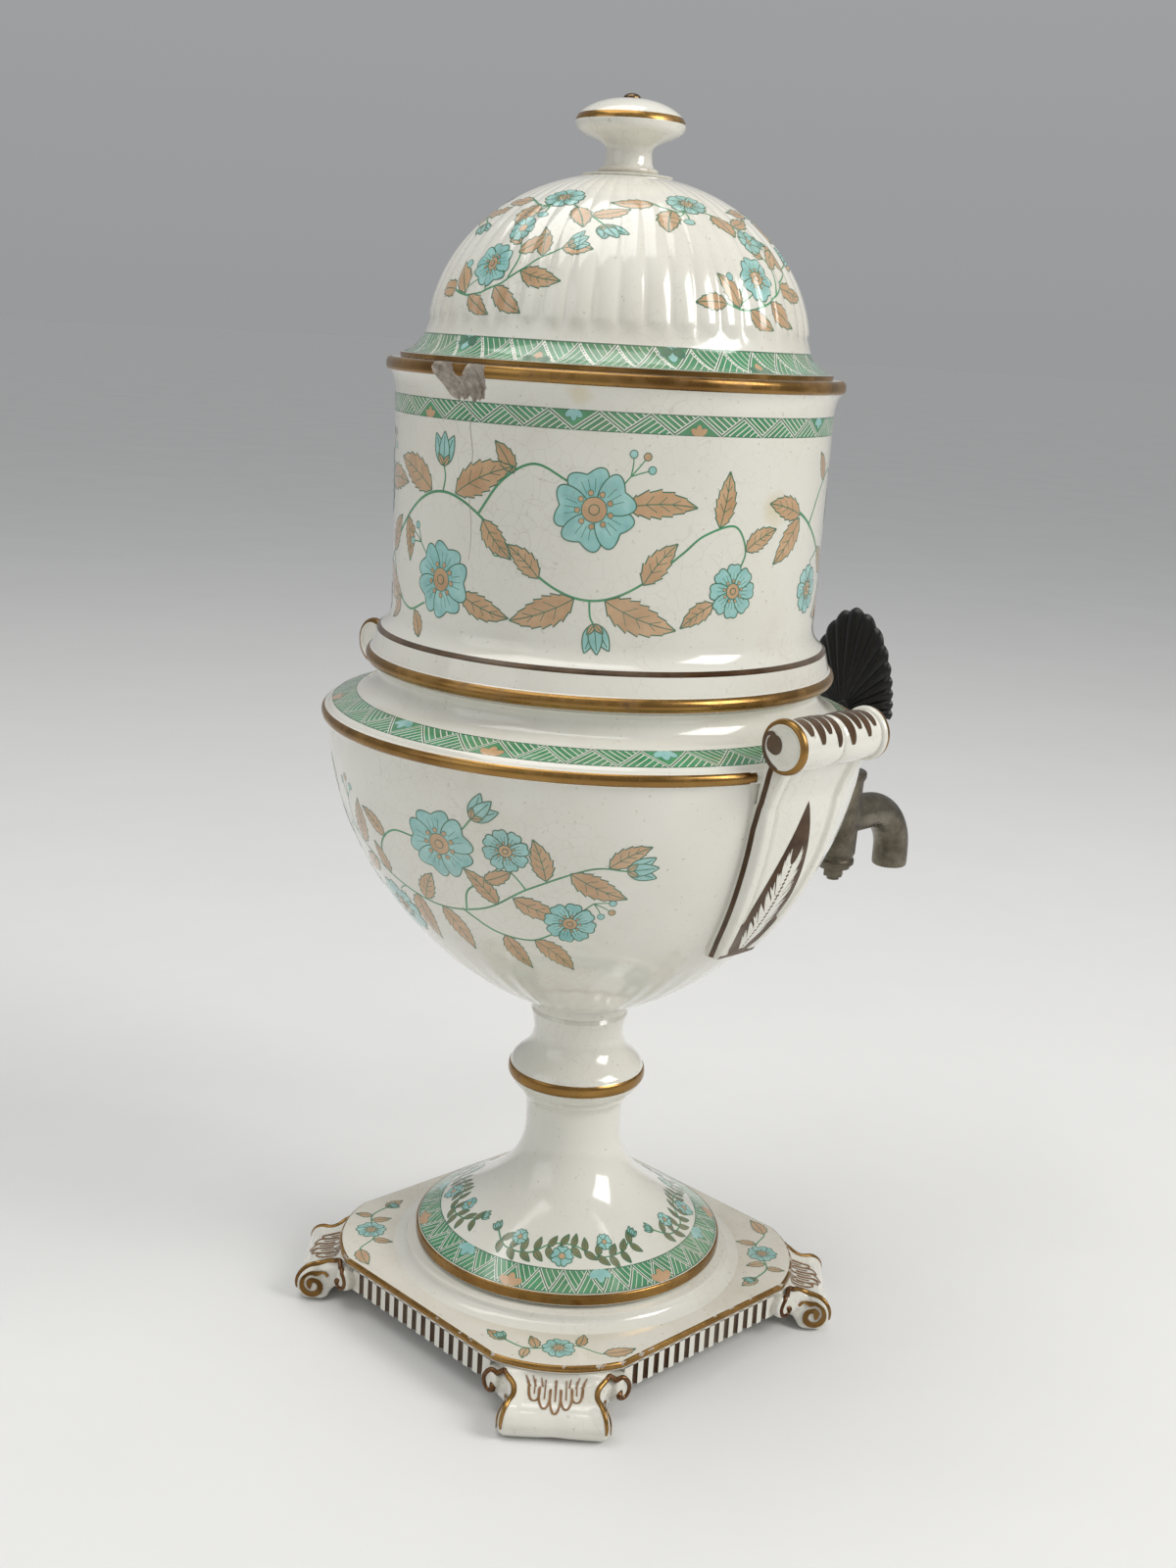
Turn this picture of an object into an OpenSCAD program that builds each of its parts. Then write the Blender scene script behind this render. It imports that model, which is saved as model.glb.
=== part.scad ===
// Two-tier tea urn of glazed earthenware with a plug tap.
// Origin at the middle of the base on the table plane, +Z up, the tap along +X, the handles along Y.

/* [Plinth] */
// Width of the top plate across its flat sides
plinth_w = 151.4; // [142:0.2:164]
// Length of each straight side between the corner notches
plinth_flat = 85.6; // [80:0.2:92]
// Bulge of each round corner beyond the line between its notches
corner_bulge = 5.6; // [3:0.1:9]
// Step of the notch at each end of a corner
notch_step = 1.4; // [0.6:0.1:2.4]
// Thickness of the top plate
plate_t = 3.2; // [2.4:0.1:5]
// Height of the fluted apron under the plate
apron_h = 7.3; // [5:0.1:9]
// Height of the apron's lower edge above the table
apron_lift = 11; // [10:0.1:14]
// Setback of the apron from the plate's edge
apron_inset = 1.6; // [0.8:0.1:3]
// Wall of the apron
apron_wall = 6; // [4:0.1:8]
// Flutes on each side
flute_count = 14; // [8:1:18]
// Width of a flute
flute_w = 2; // [1:0.1:2.6]
// Depth of a flute
flute_depth = 1; // [0.4:0.1:2]
// Margin of the raised round seat around the pedestal's foot
seat_margin = 3.5; // [2.5:0.1:6]
// Height of the raised seat
seat_h = 4.6; // [3:0.1:7]
// Spread of the seat's hollow skirt
seat_skirt = 5; // [3:0.1:7]
// Radius of the stiffening boss under the plate
boss_r = 50; // [30:0.5:54]
// Depth of the stiffening boss
boss_h = 4.5; // [3:0.1:6]

/* [Scroll feet] */
// Width of a foot at its outer volute
foot_w = 41; // [36:0.2:46]
// Width of a foot at its waist
foot_waist = 32; // [28:0.2:36]
// Width of a foot at its inner curl
foot_curl_w = 47; // [43:0.2:49]
// Width of the hidden block that holds a foot under the plate
foot_block_w = 36; // [24:0.2:38]
// Distance of the outer volute's centre from the urn's axis
foot_reach = 97; // [95:0.2:102]
// Radius of the outer volute
volute_r = 7.3; // [6:0.1:7.8]
// Radius of the small inner curl
curl_r = 3.4; // [2.6:0.1:3.8]
// Distance from the outer volute's centre in to the inner curl's centre
curl_back = 13.2; // [12:0.1:15]
// Flat cut off the bottom of the volute to stand on
foot_flat = 0.5; // [0.3:0.1:1]

/* [Pedestal] */
// Height of the pedestal
pedestal_h = 94.3; // [90:0.2:104]
// Radius of the pedestal's foot
pedestal_r = 59.5; // [56:0.2:61]
// Height of the foot's upright edge
pedestal_edge = 4.6; // [3:0.1:7]
// Height of the flared cone from the foot's edge to the stem
flare_h = 42; // [34:0.2:46]
// Radius of the stem
stem_r = 18.4; // [16:0.1:21]
// Radius of the knop
knop_r = 26.2; // [24:0.1:30]
// Height of the knop's widest line above the pedestal's foot
knop_h = 69.6; // [66:0.2:72]
// Radius of the neck between knop and bowl
neck_r = 17.1; // [15:0.1:18]
// Radius at the top of the pedestal
crown_r = 18.4; // [17:0.1:20]
// Radius of the hollow under the pedestal at its foot
hollow_r = 46; // [30:0.5:48]
// Height of the hollow under the pedestal
hollow_h = 24; // [14:0.5:26]

/* [Bowl] */
// Height of the bowl from its foot to the bead at its rim
bowl_h = 112; // [106:0.2:124]
// Radius of the bowl under its bead
bowl_r = 97.6; // [95:0.2:104]
// Radius of the bowl's foot
bowl_foot_r = 18.6; // [17.6:0.1:22]
// Wall of the bowl
bowl_wall = 5; // [4:0.1:7]
// Thickness of the bowl's floor over its foot
bowl_floor = 9; // [7:0.1:12]
// Radius of the bead round the rim
rim_bead = 2.5; // [2:0.1:3.2]
// Inner radius of the flat shoulder
shoulder_r = 84; // [83:0.2:87]
// Height of the neck above the shoulder
collar_h = 13.2; // [12:0.1:17]
// Radius of the neck's waist
collar_r = 77.8; // [77:0.1:79.5]
// Radius at the top of the neck
collar_top_r = 81; // [79.5:0.1:82]
// Wall of the neck
collar_wall = 4.2; // [3.4:0.1:5.4]

/* [Handles] */
// Length of a handle's roll
roll_l = 45; // [40:0.2:52]
// Radius of the roll at its ends
roll_r = 9.2; // [8.6:0.1:10.5]
// Radius of the roll at its pinched middle
roll_pinch_r = 7.6; // [6.5:0.1:7.9]
// Distance of the roll's axis beyond the bowl's side
roll_out = 9.4; // [7:0.1:13]
// Height of the roll's axis above the bead's middle
roll_lift = 12.2; // [11:0.1:14]
// Width of the strap at the roll
strap_w = 40; // [34:0.2:40]
// Width of the strap at its lower tip
strap_tip_w = 19; // [8:0.2:20]
// Thickness of the strap on the bowl
strap_t = 5; // [3.5:0.1:6.5]
// Length of the strap down from the bead's middle
strap_drop = 71; // [58:0.5:76]

/* [Upper vessel] */
// Height of the vessel from the bowl's neck to its rim
vessel_h = 106.4; // [98:0.2:118]
// Outer radius of the straight wall at its foot
vessel_r = 75.9; // [75:0.1:78]
// Outer radius of the straight wall under the rim
vessel_top_r = 76.9; // [75.4:0.1:78]
// Radius of the bead at the foot
vessel_bead_r = 84.8; // [83.6:0.1:87]
// Height of the bead at the foot
vessel_bead_h = 5.4; // [4.4:0.1:6.5]
// Height of the flare above the bead
vessel_flare_h = 16; // [12:0.2:20]
// Radius of the rim
vessel_rim_r = 80.3; // [79.5:0.1:82]
// Height of the rim's bead
vessel_rim_h = 5.6; // [4:0.1:7]
// Wall of the vessel
vessel_wall = 4.6; // [3.6:0.1:5.4]
// Thickness of the vessel's floor
vessel_floor = 5; // [4:0.1:7]
// Length of the spigot in the bowl's neck
spigot_l = 10; // [7:0.1:12]
// Radius of the opening in the floor
drain_r = 42; // [34:0.2:46]

/* [Lid] */
// Radius of the lid's edge
lid_r = 75.6; // [74.5:0.1:77.5]
// Thickness of the lid's edge
lid_edge = 1.7; // [1.2:0.1:2.6]
// Height of the lid from its edge to the knob's seat
lid_h = 63.3; // [58:0.1:70]
// Radius of the dome
dome_r = 66.6; // [65:0.1:68]
// Height of the hollow sweep between the lid's edge and the dome
lid_sweep_h = 6.4; // [5:0.1:9]
// Height of the plain band below the reeds
plain_band_h = 7; // [5:0.1:9]
// Wall of the dome
lid_wall = 4.8; // [4:0.1:6]
// Reeds round the dome
reed_count = 48; // [24:2:60]
// Depth of the grooves between the reeds
reed_depth = 0.9; // [0.4:0.1:1.4]
// Width of each groove, as an angle
reed_gap = 1.6; // [0.8:0.1:2.4]
// Length of the locating rim inside the vessel
lid_rim_l = 8; // [5:0.1:12]

/* [Knob] */
// Radius of the knob
knob_r = 18.8; // [17:0.1:22]
// Height of the knob
knob_h = 25.6; // [22:0.1:30]
// Radius of the knob's base
knob_base_r = 15.6; // [14:0.1:18]
// Radius of the knob's neck
knob_neck_r = 8.3; // [7:0.1:10]
// Height of the neck's waist above the knob's base
knob_neck_h = 8.4; // [7:0.1:10]
// Height of the knob's widest line above its base
knob_wide_h = 17.7; // [16:0.1:19]
// Radius of the knob bolt
knob_bolt_r = 1.7; // [1.4:0.1:2]
// Radius of the bolt's round head
bolt_head_r = 3; // [2.6:0.1:4]
// Height of the bolt's round head
bolt_head_h = 2; // [1.4:0.1:3]

/* [Tap] */
// Distance of the barrel's axis from the urn's axis
tap_reach = 150; // [140:0.5:165]
// Height of the tap's axis above the bowl's foot
tap_h = 51.4; // [49:0.2:55]
// Radius of the shank
shank_r = 8; // [7:0.1:9]
// Radius of the waterway
waterway_r = 4; // [3:0.1:4.4]
// Radius of the flange
flange_r = 14; // [12:0.1:15]
// Thickness of the flange
flange_t = 3.4; // [2:0.1:5]
// Stand of the flange's seat beyond the bowl's side
boss_out = 6.4; // [2:0.2:12]
// Stand of the back nut's seat inside the bowl's side
boss_in = 0.6; // [0.3:0.1:4]
// Height of the barrel
barrel_h = 42; // [38:0.2:48]
// Radius of the barrel at its top
barrel_top_r = 9.8; // [9:0.1:12]
// Radius of the barrel at its bottom
barrel_low_r = 7.6; // [7.2:0.1:8.6]
// Radius of the plug at the barrel's top
plug_top_r = 6.6; // [6:0.1:7]
// Radius of the plug at the barrel's bottom
plug_low_r = 4.8; // [4.6:0.1:5.6]
// Reach of the spout's outlet beyond the barrel's axis
spout_reach = 40; // [36:0.2:50]
// Drop of the outlet below the tap's axis
spout_drop = 28; // [25:0.2:36]
// Radius of the spout
spout_r = 7.8; // [7:0.1:8.6]
// Radius of the outlet's bore
outlet_r = 5.2; // [4.4:0.1:5.8]
// Radius of the spout's bend
bend_r = 20; // [14:0.2:23]

/* [Shell handle] */
// Height of the shell above its neck
shell_h = 43; // [36:0.2:52]
// Half width of the shell
shell_half_w = 25; // [20:0.2:30]
// Ribs of the shell
shell_ribs = 17; // [9:2:21]
// Thickness of the shell at its edge
shell_edge_t = 6.4; // [4.4:0.1:8]
// Length of the neck below the shell
shell_neck_l = 26; // [22:0.2:32]
// Radius of the neck
shell_neck_r = 7; // [6.2:0.1:8]
// Thickness of the plug's tang
tang_t = 3; // [2:0.1:4]
// Width of the plug's tang
tang_w = 8; // [6:0.1:8.6]
// Radius of the cross pin
pin_r = 1.25; // [0.8:0.05:1.6]

/* [Strainer] */
// Width of the strainer plate's rest around the floor's opening
strainer_rest = 7; // [4:0.2:10]
// Thickness of the strainer plate
strainer_t = 1.4; // [1:0.1:2.4]
// Rings of holes
strainer_rings = 5; // [3:1:6]
// Radius of a hole
strainer_hole_r = 1.2; // [0.8:0.1:1.6]
// Height of the lifting knob
lift_knob_h = 13; // [9:0.2:15]
// Radius of the lifting knob
lift_knob_r = 5.4; // [4.6:0.1:6.5]

/* [Fasteners and washers] */
// Radius of the tie rod
rod_r = 4; // [3:0.1:5]
// Radius of the tie rod's head
rod_head_r = 8; // [7:0.1:9.5]
// Height of the tie rod's head
rod_head_h = 6; // [4:0.1:8]
// Thickness of a soft washer
soft_t = 1.2; // [0.8:0.1:2]
// Thickness of a metal washer
washer_t = 1.4; // [1:0.1:2]
// Height of the nuts on the tie rod and the tap's shank
nut_h = 4.6; // [3.6:0.1:5]
// Height of the nuts on the knob bolt and the plug
small_nut_h = 4; // [3:0.1:5]
// Thread that stands out beyond a nut
thread_out = 1.4; // [0.6:0.1:2]
// Width of a washer beyond the hole, shank or head that it seals
washer_rim = 5; // [3:0.1:6]
// Clearance of bolts, rods and shanks in their holes
hole_gap = 0.4; // [0.3:0.05:0.6]
// Clearance of ceramic pieces that lift off
lift_gap = 0.7; // [0.4:0.05:1]
// Clearance of the turning plug in its barrel
turn_gap = 0.06; // [0.03:0.01:0.1]

/* [Hidden] */
$fn = 96;

// Colours
ivory = [0.90, 0.86, 0.76];
pewter = [0.36, 0.33, 0.29];
ebony = [0.04, 0.04, 0.045];
steel = [0.55, 0.55, 0.56];
leather = [0.38, 0.24, 0.14];

// Eased edge of a glazed piece
ease = 0.8;
// Overlap of a cutter past the face that it cuts
past = 1;
// Across-flats width of a nut for each unit of its thread's radius
nut_size = 3.4;

// Heights of the seats, from the table up
plate_z = apron_lift + apron_h;
plinth_z = plate_z + plate_t;
seat_z = plinth_z + seat_h;
pedestal_z = seat_z + soft_t;
bowl_z = pedestal_z + pedestal_h + soft_t;
bead_z = bowl_z + bowl_h;
shoulder_z = bead_z + 2 * rim_bead;
collar_z = shoulder_z + collar_h;
rim_z = collar_z + vessel_h;
crown_z = rim_z + lid_h;
knob_top_z = crown_z + knob_h;
tap_z = bowl_z + tap_h;
floor_z = collar_z + vessel_floor / 2;

// Cubic curve from a to d with the handles b and c, in n steps
function curve(a, b, c, d, n = 8) = [
    for (i = [0:n])
        let (t = i / n, s = 1 - t)
        s * s * s * a + 3 * s * s * t * b + 3 * s * t * t * c + t * t * t * d
];

// Arc about a centre from angle a0 to a1, in n steps
function arc(centre, r, a0, a1, n = 8) = [
    for (i = [0:n])
        let (a = a0 + (a1 - a0) * i / n)
        centre + r * [cos(a), sin(a)]
];

// A list without its first point, for a run that starts where the last one ended
function rest(points) = [for (i = [1:len(points) - 1]) points[i]];

// The same points in the opposite order
function reversed(points) = [for (i = [len(points) - 1:-1:0]) points[i]];

// The points turned about the origin
function turned(points, a) = [for (p = points) [p.x * cos(a) - p.y * sin(a), p.x * sin(a) + p.y * cos(a)]];

// The points with their mirror image added, to close an outline that is alike on both sides of the X axis
function both_sides(points) = concat(points, reversed([for (p = points) [p.x, -p.y]]));

// A flat ring
module ring(outer, inner, t) {
    difference() {
        cylinder(r = outer, h = t);
        translate([0, 0, -past]) cylinder(r = inner, h = t + 2 * past);
    }
}

// A six-sided nut with a round hole
module hex_nut(thread_r, h) {
    difference() {
        cylinder(r = nut_size * thread_r / sqrt(3), h = h, $fn = 6);
        translate([0, 0, -past]) cylinder(r = thread_r, h = h + 2 * past);
    }
}

// Turns what points along +Z so that it points along +X
module along_x() {
    rotate([0, 90, 0]) children();
}

// Plinth
half_w = plinth_w / 2;
half_flat = plinth_flat / 2;
corner_mid = (half_w + half_flat) / sqrt(2);
corner_chord = (half_w - half_flat) * sqrt(2);
corner_arc_r = (corner_chord * corner_chord / 4 + corner_bulge * corner_bulge) / (2 * corner_bulge);
corner_arc_x = corner_mid + corner_bulge - corner_arc_r;
corner_arc_a = asin((corner_chord / 2 - notch_step) / corner_arc_r);
apron_face = half_w - apron_inset;
foot_side_gap = 5;
apron_end = half_flat - foot_side_gap;
rod_hole_r = rod_r + hole_gap;
seat_r = pedestal_r + seat_margin;
skirt_r = seat_r + seat_skirt;

// One corner of the plate's outline, between the ends of two straight sides
corner_outline = concat(
    [[half_w, half_flat]],
    arc([corner_arc_x, corner_arc_x] / sqrt(2), corner_arc_r, 45 - corner_arc_a, 45 + corner_arc_a, 10),
    [[half_flat, half_w]]
);
plate_outline = [for (k = [0:3]) each turned(corner_outline, 90 * k)];

seat_profile = concat(
    [[rod_hole_r, plate_z], [skirt_r, plate_z]],
    curve([skirt_r, plinth_z], [seat_r + seat_skirt * 0.4, plinth_z + seat_h * 0.2],
        [seat_r, plinth_z + seat_h * 0.4], [seat_r, seat_z - ease], 6),
    [[seat_r - ease, seat_z], [rod_hole_r, seat_z]]
);

module apron_side() {
    flute_pitch = 2 * apron_end / (flute_count + 1);
    first_flute = -apron_end + flute_pitch - flute_w / 2;
    difference() {
        translate([-apron_end, apron_face - apron_wall, apron_lift])
            cube([2 * apron_end, apron_wall, apron_h + plate_t / 2]);
        for (i = [0:flute_count - 1])
            translate([first_flute + i * flute_pitch, apron_face - flute_depth, apron_lift - past])
                cube([flute_w, flute_depth + past, apron_h]);
    }
}

module plinth() {
    color(ivory) {
        difference() {
            union() {
                translate([0, 0, plate_z]) linear_extrude(plate_t) polygon(plate_outline);
                translate([0, 0, plate_z - boss_h]) cylinder(r = boss_r, h = boss_h);
            }
            translate([0, 0, plate_z - boss_h - past])
                cylinder(r = rod_hole_r, h = boss_h + plate_t + 2 * past);
        }
        rotate_extrude() polygon(seat_profile);
        for (k = [0:3]) rotate(90 * k) apron_side();
    }
}

// Scroll feet
volute_at = [foot_reach, volute_r - foot_flat];
curl_at = [foot_reach - curl_back, plate_z - 2.4 * curl_r];
curl_in = curl_at.x - curl_r;
block_in = curl_in - 2.4 * curl_r;
foot_out = foot_reach + volute_r;
foot_neck = corner_mid + corner_bulge - apron_inset;
waist_x = foot_reach - curl_back * 0.4;
waist_pull = curl_back / 4;

// Angles on the volute: where the back comes down on it, where the standing flat starts and
// where the underside leaves it
back_a = 62;
flat_a = acos(volute_at.y / volute_r);
under_a = 222;

// Angles on the inner curl: where the underside reaches it and where it turns in under the plate
curl_a0 = -70;
curl_a1 = -190;

// Side of a foot: distance from the axis and height
foot_side = concat(
    [[block_in, plate_z]],
    curve([foot_neck, plate_z], [foot_neck + waist_pull, plate_z - ease],
        volute_at + [-waist_pull, volute_r + ease], volute_at + volute_r * [cos(back_a), sin(back_a)], 6),
    rest(arc(volute_at, volute_r, back_a, flat_a - 90, 10)),
    arc(volute_at, volute_r, -90 - flat_a, under_a - 360, 3),
    arc(curl_at, curl_r, curl_a0, curl_a1, 6),
    [[block_in, curl_at.y]]
);

// Foot from above: distance from the axis and half width, one side
foot_plan_side = concat(
    [[block_in, foot_block_w / 2], [curl_in, foot_block_w / 2], [curl_in, foot_curl_w / 2]],
    curve([curl_at.x, foot_curl_w / 2], [curl_at.x + waist_pull, foot_curl_w / 2],
        [waist_x - waist_pull, foot_waist / 2], [waist_x, foot_waist / 2], 6),
    rest(curve([waist_x, foot_waist / 2], [waist_x + waist_pull, foot_waist / 2],
        [foot_reach, foot_w / 2], [foot_out, foot_w / 2], 6)),
    [[foot_out + past, foot_w / 2]]
);

module scroll_foot(k) {
    color(ivory)
        rotate(45 + 90 * k)
            intersection() {
                translate([0, foot_curl_w, 0]) rotate([90, 0, 0])
                    linear_extrude(2 * foot_curl_w) polygon(foot_side);
                translate([0, 0, -past])
                    linear_extrude(plate_z + 2 * past) polygon(both_sides(foot_plan_side));
            }
}

module scroll_foot_1() { scroll_foot(0); }
module scroll_foot_2() { scroll_foot(1); }
module scroll_foot_3() { scroll_foot(2); }
module scroll_foot_4() { scroll_foot(3); }

// Pedestal
module pedestal_bed() {
    color(leather)
        translate([0, 0, seat_z]) ring(hollow_r + washer_rim, hollow_r, soft_t);
}

// Depths below the knop's widest line: its gilt ring and its foot on the stem
ring_drop = 7;
knop_drop = 10.4;
// Rise of the neck's waist above the knop's widest line
neck_rise = 15;
// Step of the gilt ring inside the knop, and the ring's height
ring_step = 2.6;
ring_h = 2;
// How the flare sweeps in from the foot's edge
flare_pull = [21, 12.4];

stem_low = [stem_r, pedestal_edge + flare_h];
knop_foot = [stem_r + 2 * ease, knop_h - knop_drop];
knop_ring = [knop_r - ring_step, knop_h - ring_drop];
knop_mid = [knop_r, knop_h];
neck_low = [neck_r, knop_h + neck_rise];
crown_low = [crown_r, pedestal_h - 2 * ease];

// Outside of the pedestal, with heights from its foot
pedestal_outer = concat(
    [[pedestal_r - ease, 0], [pedestal_r, ease], [pedestal_r, pedestal_edge - ease]],
    curve([pedestal_r - ease, pedestal_edge], [pedestal_r - flare_pull.x, pedestal_edge + flare_pull.y],
        [stem_r, pedestal_edge + flare_h / 2], stem_low, 14),
    rest(curve(stem_low, [stem_r, knop_foot.y - 2 * ring_h], [stem_r, knop_foot.y - ring_h], knop_foot, 5)),
    [knop_foot + [ease, 0], knop_foot + [ease, ring_h], knop_ring],
    rest(curve(knop_ring, knop_ring + [ring_h, ease], knop_mid - [0, ring_drop / 2], knop_mid, 6)),
    rest(curve(knop_mid, knop_mid + [0, neck_rise / 4], [neck_r, knop_h + neck_rise / 3], neck_low, 10)),
    rest(curve(neck_low, neck_low + [0, 3 * ease], crown_low - [ease, 3 * ease], crown_low, 4)),
    [[crown_r - ease, pedestal_h]]
);

module pedestal() {
    color(ivory)
        translate([0, 0, pedestal_z])
            difference() {
                rotate_extrude() polygon(concat([[0, 0]], pedestal_outer, [[0, pedestal_h]]));
                translate([0, 0, -past]) cylinder(r = rod_hole_r, h = pedestal_h + 2 * past);
                cylinder(r1 = hollow_r, r2 = rod_hole_r + washer_rim, h = hollow_h);
            }
}

// Bowl
module bowl_seat_washer() {
    color(leather)
        translate([0, 0, bowl_z - soft_t]) ring(crown_r - 2 * ease, rod_hole_r, soft_t);
}

// How the bowl's side sweeps out of its foot and up to its rim
belly_out = [33.4, 15];
belly_up = [2.4, 57];
// How far the neck's hollow draws in below its waist
collar_pull = 4;

shoulder_h = shoulder_z - bowl_z;
collar_top_h = collar_z - bowl_z;
bowl_side = curve([bowl_foot_r, 3 * ease], [bowl_foot_r, 0] + belly_out, [bowl_r, bowl_h] - belly_up,
    [bowl_r, bowl_h - rim_bead * 1.4], 20);
collar_side = curve([shoulder_r, shoulder_h], [shoulder_r - collar_pull, shoulder_h + ease],
    [collar_r - collar_pull, shoulder_h + collar_h * 0.6], [collar_top_r, collar_top_h - ease], 10);

// Outside of the bowl from its foot to the top of its neck, with heights from the bowl's foot
bowl_outer = concat(
    [[bowl_foot_r - ease, 0], [bowl_foot_r, ease]],
    bowl_side,
    rest(arc([bowl_r, bowl_h], rim_bead, -84, 96, 10)),
    [[bowl_r - rim_bead, shoulder_h - ease / 2]],
    collar_side,
    [[collar_top_r - ease, collar_top_h]]
);

collar_bore = collar_r - collar_wall;
bowl_bore = bowl_r - bowl_wall;
floor_r = rod_hole_r + 2 * washer_rim;
bowl_cavity = curve([floor_r, bowl_floor], [floor_r, bowl_floor] + belly_out,
    [bowl_bore, bowl_h] - belly_up, [bowl_bore, bowl_h - bowl_wall], 20);

// Inside of the bowl from its neck down to its floor
bowl_inner = concat(
    [[collar_bore, collar_top_h], [collar_bore, shoulder_h - bowl_wall / 2]],
    [[collar_bore + bowl_wall / 2, shoulder_h - bowl_wall], [bowl_bore - bowl_wall, bowl_h - ease]],
    reversed(bowl_cavity)
);

module bowl_blank() {
    translate([0, 0, bowl_z])
        rotate_extrude() polygon(concat([[0, 0]], bowl_outer, [[0, collar_top_h]]));
}

tap_hole_r = shank_r + hole_gap;
tap_boss_r = flange_r + ease;
tap_nut_r = nut_size * shank_r / sqrt(3);

// Radius of a side given by its points at a height above the bowl's foot
function side_r(side, h) = lookup(h, [for (p = side) [p.y, p.x]]);

// Where the tap's seats lie: the outer one clears the bowl at its upper edge, the inner one at the nut's
// lower corner
seat_out_x = side_r(bowl_side, tap_h + tap_boss_r) + boss_out;
seat_in_x = side_r(bowl_cavity, tap_h - tap_nut_r) - boss_in;

module bowl() {
    color(ivory)
        difference() {
            union() {
                translate([0, 0, bowl_z])
                    rotate_extrude() polygon(concat([[0, 0]], bowl_outer, bowl_inner, [[0, bowl_floor]]));
                translate([seat_in_x, 0, tap_z]) along_x()
                    cylinder(r = tap_boss_r, h = seat_out_x - seat_in_x);
            }
            translate([0, 0, bowl_z - past]) cylinder(r = rod_hole_r, h = bowl_floor + 2 * past);
            translate([seat_in_x - past, 0, tap_z]) along_x()
                cylinder(r = tap_hole_r, h = seat_out_x - seat_in_x + 2 * past);
        }
}

// Handles
roll_z = bead_z + roll_lift;
roll_reach = bowl_r + roll_out;
roll_half = roll_l / 2;
lobe_r = (roll_r + roll_pinch_r) / 2;
lobe_x = roll_half * 0.4;
// Width of the ring at each end of the roll
roll_ring = 3.4;
ring_x = roll_half - roll_ring;

// Half of the roll's outline, from its middle to its end
roll_half_side = concat(
    curve([roll_pinch_r, 0], [roll_pinch_r, lobe_x / 5], [lobe_r, lobe_x / 3], [lobe_r, lobe_x], 5),
    rest(curve([lobe_r, lobe_x], [lobe_r, 1.5 * lobe_x], [lobe_r - ease, ring_x - roll_ring],
        [lobe_r - ease, ring_x - ease], 5)),
    [[roll_r - ease, ring_x], [roll_r, ring_x + ease], [roll_r, roll_half - ease], [roll_r - ease, roll_half]]
);
roll_side = concat(reversed([for (p = rest(roll_half_side)) [p.x, -p.y]]), roll_half_side);

// Strap from the front: width and height
strap_knee_z = bead_z - rim_bead * 1.6;
strap_tip_z = bead_z - strap_drop;
strap_fall = strap_knee_z - strap_tip_z;
strap_edge = curve([strap_tip_w / 2, strap_tip_z], [(strap_w + strap_tip_w) / 4, strap_tip_z + strap_fall / 5],
    [strap_w / 2, strap_tip_z + strap_fall / 2], [strap_w / 2, strap_knee_z], 7);
strap_front = concat(
    [[-strap_w / 2, roll_z]], reversed([for (p = strap_edge) [-p.x, p.y]]), strap_edge, [[strap_w / 2, roll_z]]
);

// Neck of the strap from the side: distance from the axis and height
strap_neck_z = bead_z - 2 * strap_t;
strap_neck_in = bowl_r - 2 * strap_t;
strap_neck = concat(
    [[strap_neck_in, strap_neck_z]],
    curve([bowl_r + strap_t - ease, strap_neck_z], [bowl_r + strap_t, bead_z - strap_t],
        [roll_reach - ease, bead_z], [roll_reach + roll_r / 4, roll_z - roll_r / 2], 6),
    [[roll_reach, roll_z], [bowl_r - rim_bead, roll_z - rim_bead], [strap_neck_in, bead_z]]
);
strap_band = concat(bowl_side, reversed([for (p = bowl_side) p + [strap_t, 0]]));

module handle() {
    color(ivory)
        difference() {
            union() {
                translate([0, -roll_reach, roll_z]) along_x()
                    rotate_extrude() polygon(concat([[0, -roll_half]], roll_side, [[0, roll_half]]));
                intersection() {
                    translate([0, 0, bowl_z]) rotate(-120)
                        rotate_extrude(angle = 60) polygon(strap_band);
                    rotate([90, 0, 0]) linear_extrude(roll_reach + roll_r) polygon(strap_front);
                }
                translate([-strap_w / 2, 0, 0]) rotate([90, 0, 90])
                    linear_extrude(strap_w) polygon([for (p = strap_neck) [-p.x, p.y]]);
            }
            bowl_blank();
        }
}

module handle_right() { handle(); }
module handle_left() { mirror([0, 1, 0]) handle(); }

// Upper vessel
vessel_bore = vessel_r - vessel_wall;
spigot_r = collar_bore - lift_gap;
spigot_bore = spigot_r - vessel_wall;
strainer_r = drain_r + strainer_rest;
strainer_seat_r = strainer_r + lift_gap;
vessel_bead_z = collar_z + vessel_bead_h;
bead_mid = [vessel_bead_r - vessel_bead_h / 2, collar_z + vessel_bead_h / 2];
// Steps in from the bead to the flare's foot and to its lip, and the hollow under the rim
foot_step = 2;
lip_step = 3.8;
rim_sweep = 8.4;
rim_ease = 1.5 * ease;
flare_foot = [vessel_bead_r - foot_step, vessel_bead_z];
flare_lip = [vessel_bead_r - lip_step, vessel_bead_z + vessel_flare_h * 0.44];
flare_top = [vessel_r, vessel_bead_z + vessel_flare_h];
flare_pull_up = vessel_flare_h / 3;
rim_low = [vessel_rim_r - rim_ease, rim_z - vessel_rim_h];
sweep_low = [vessel_top_r, rim_low.y - rim_sweep];

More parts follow.
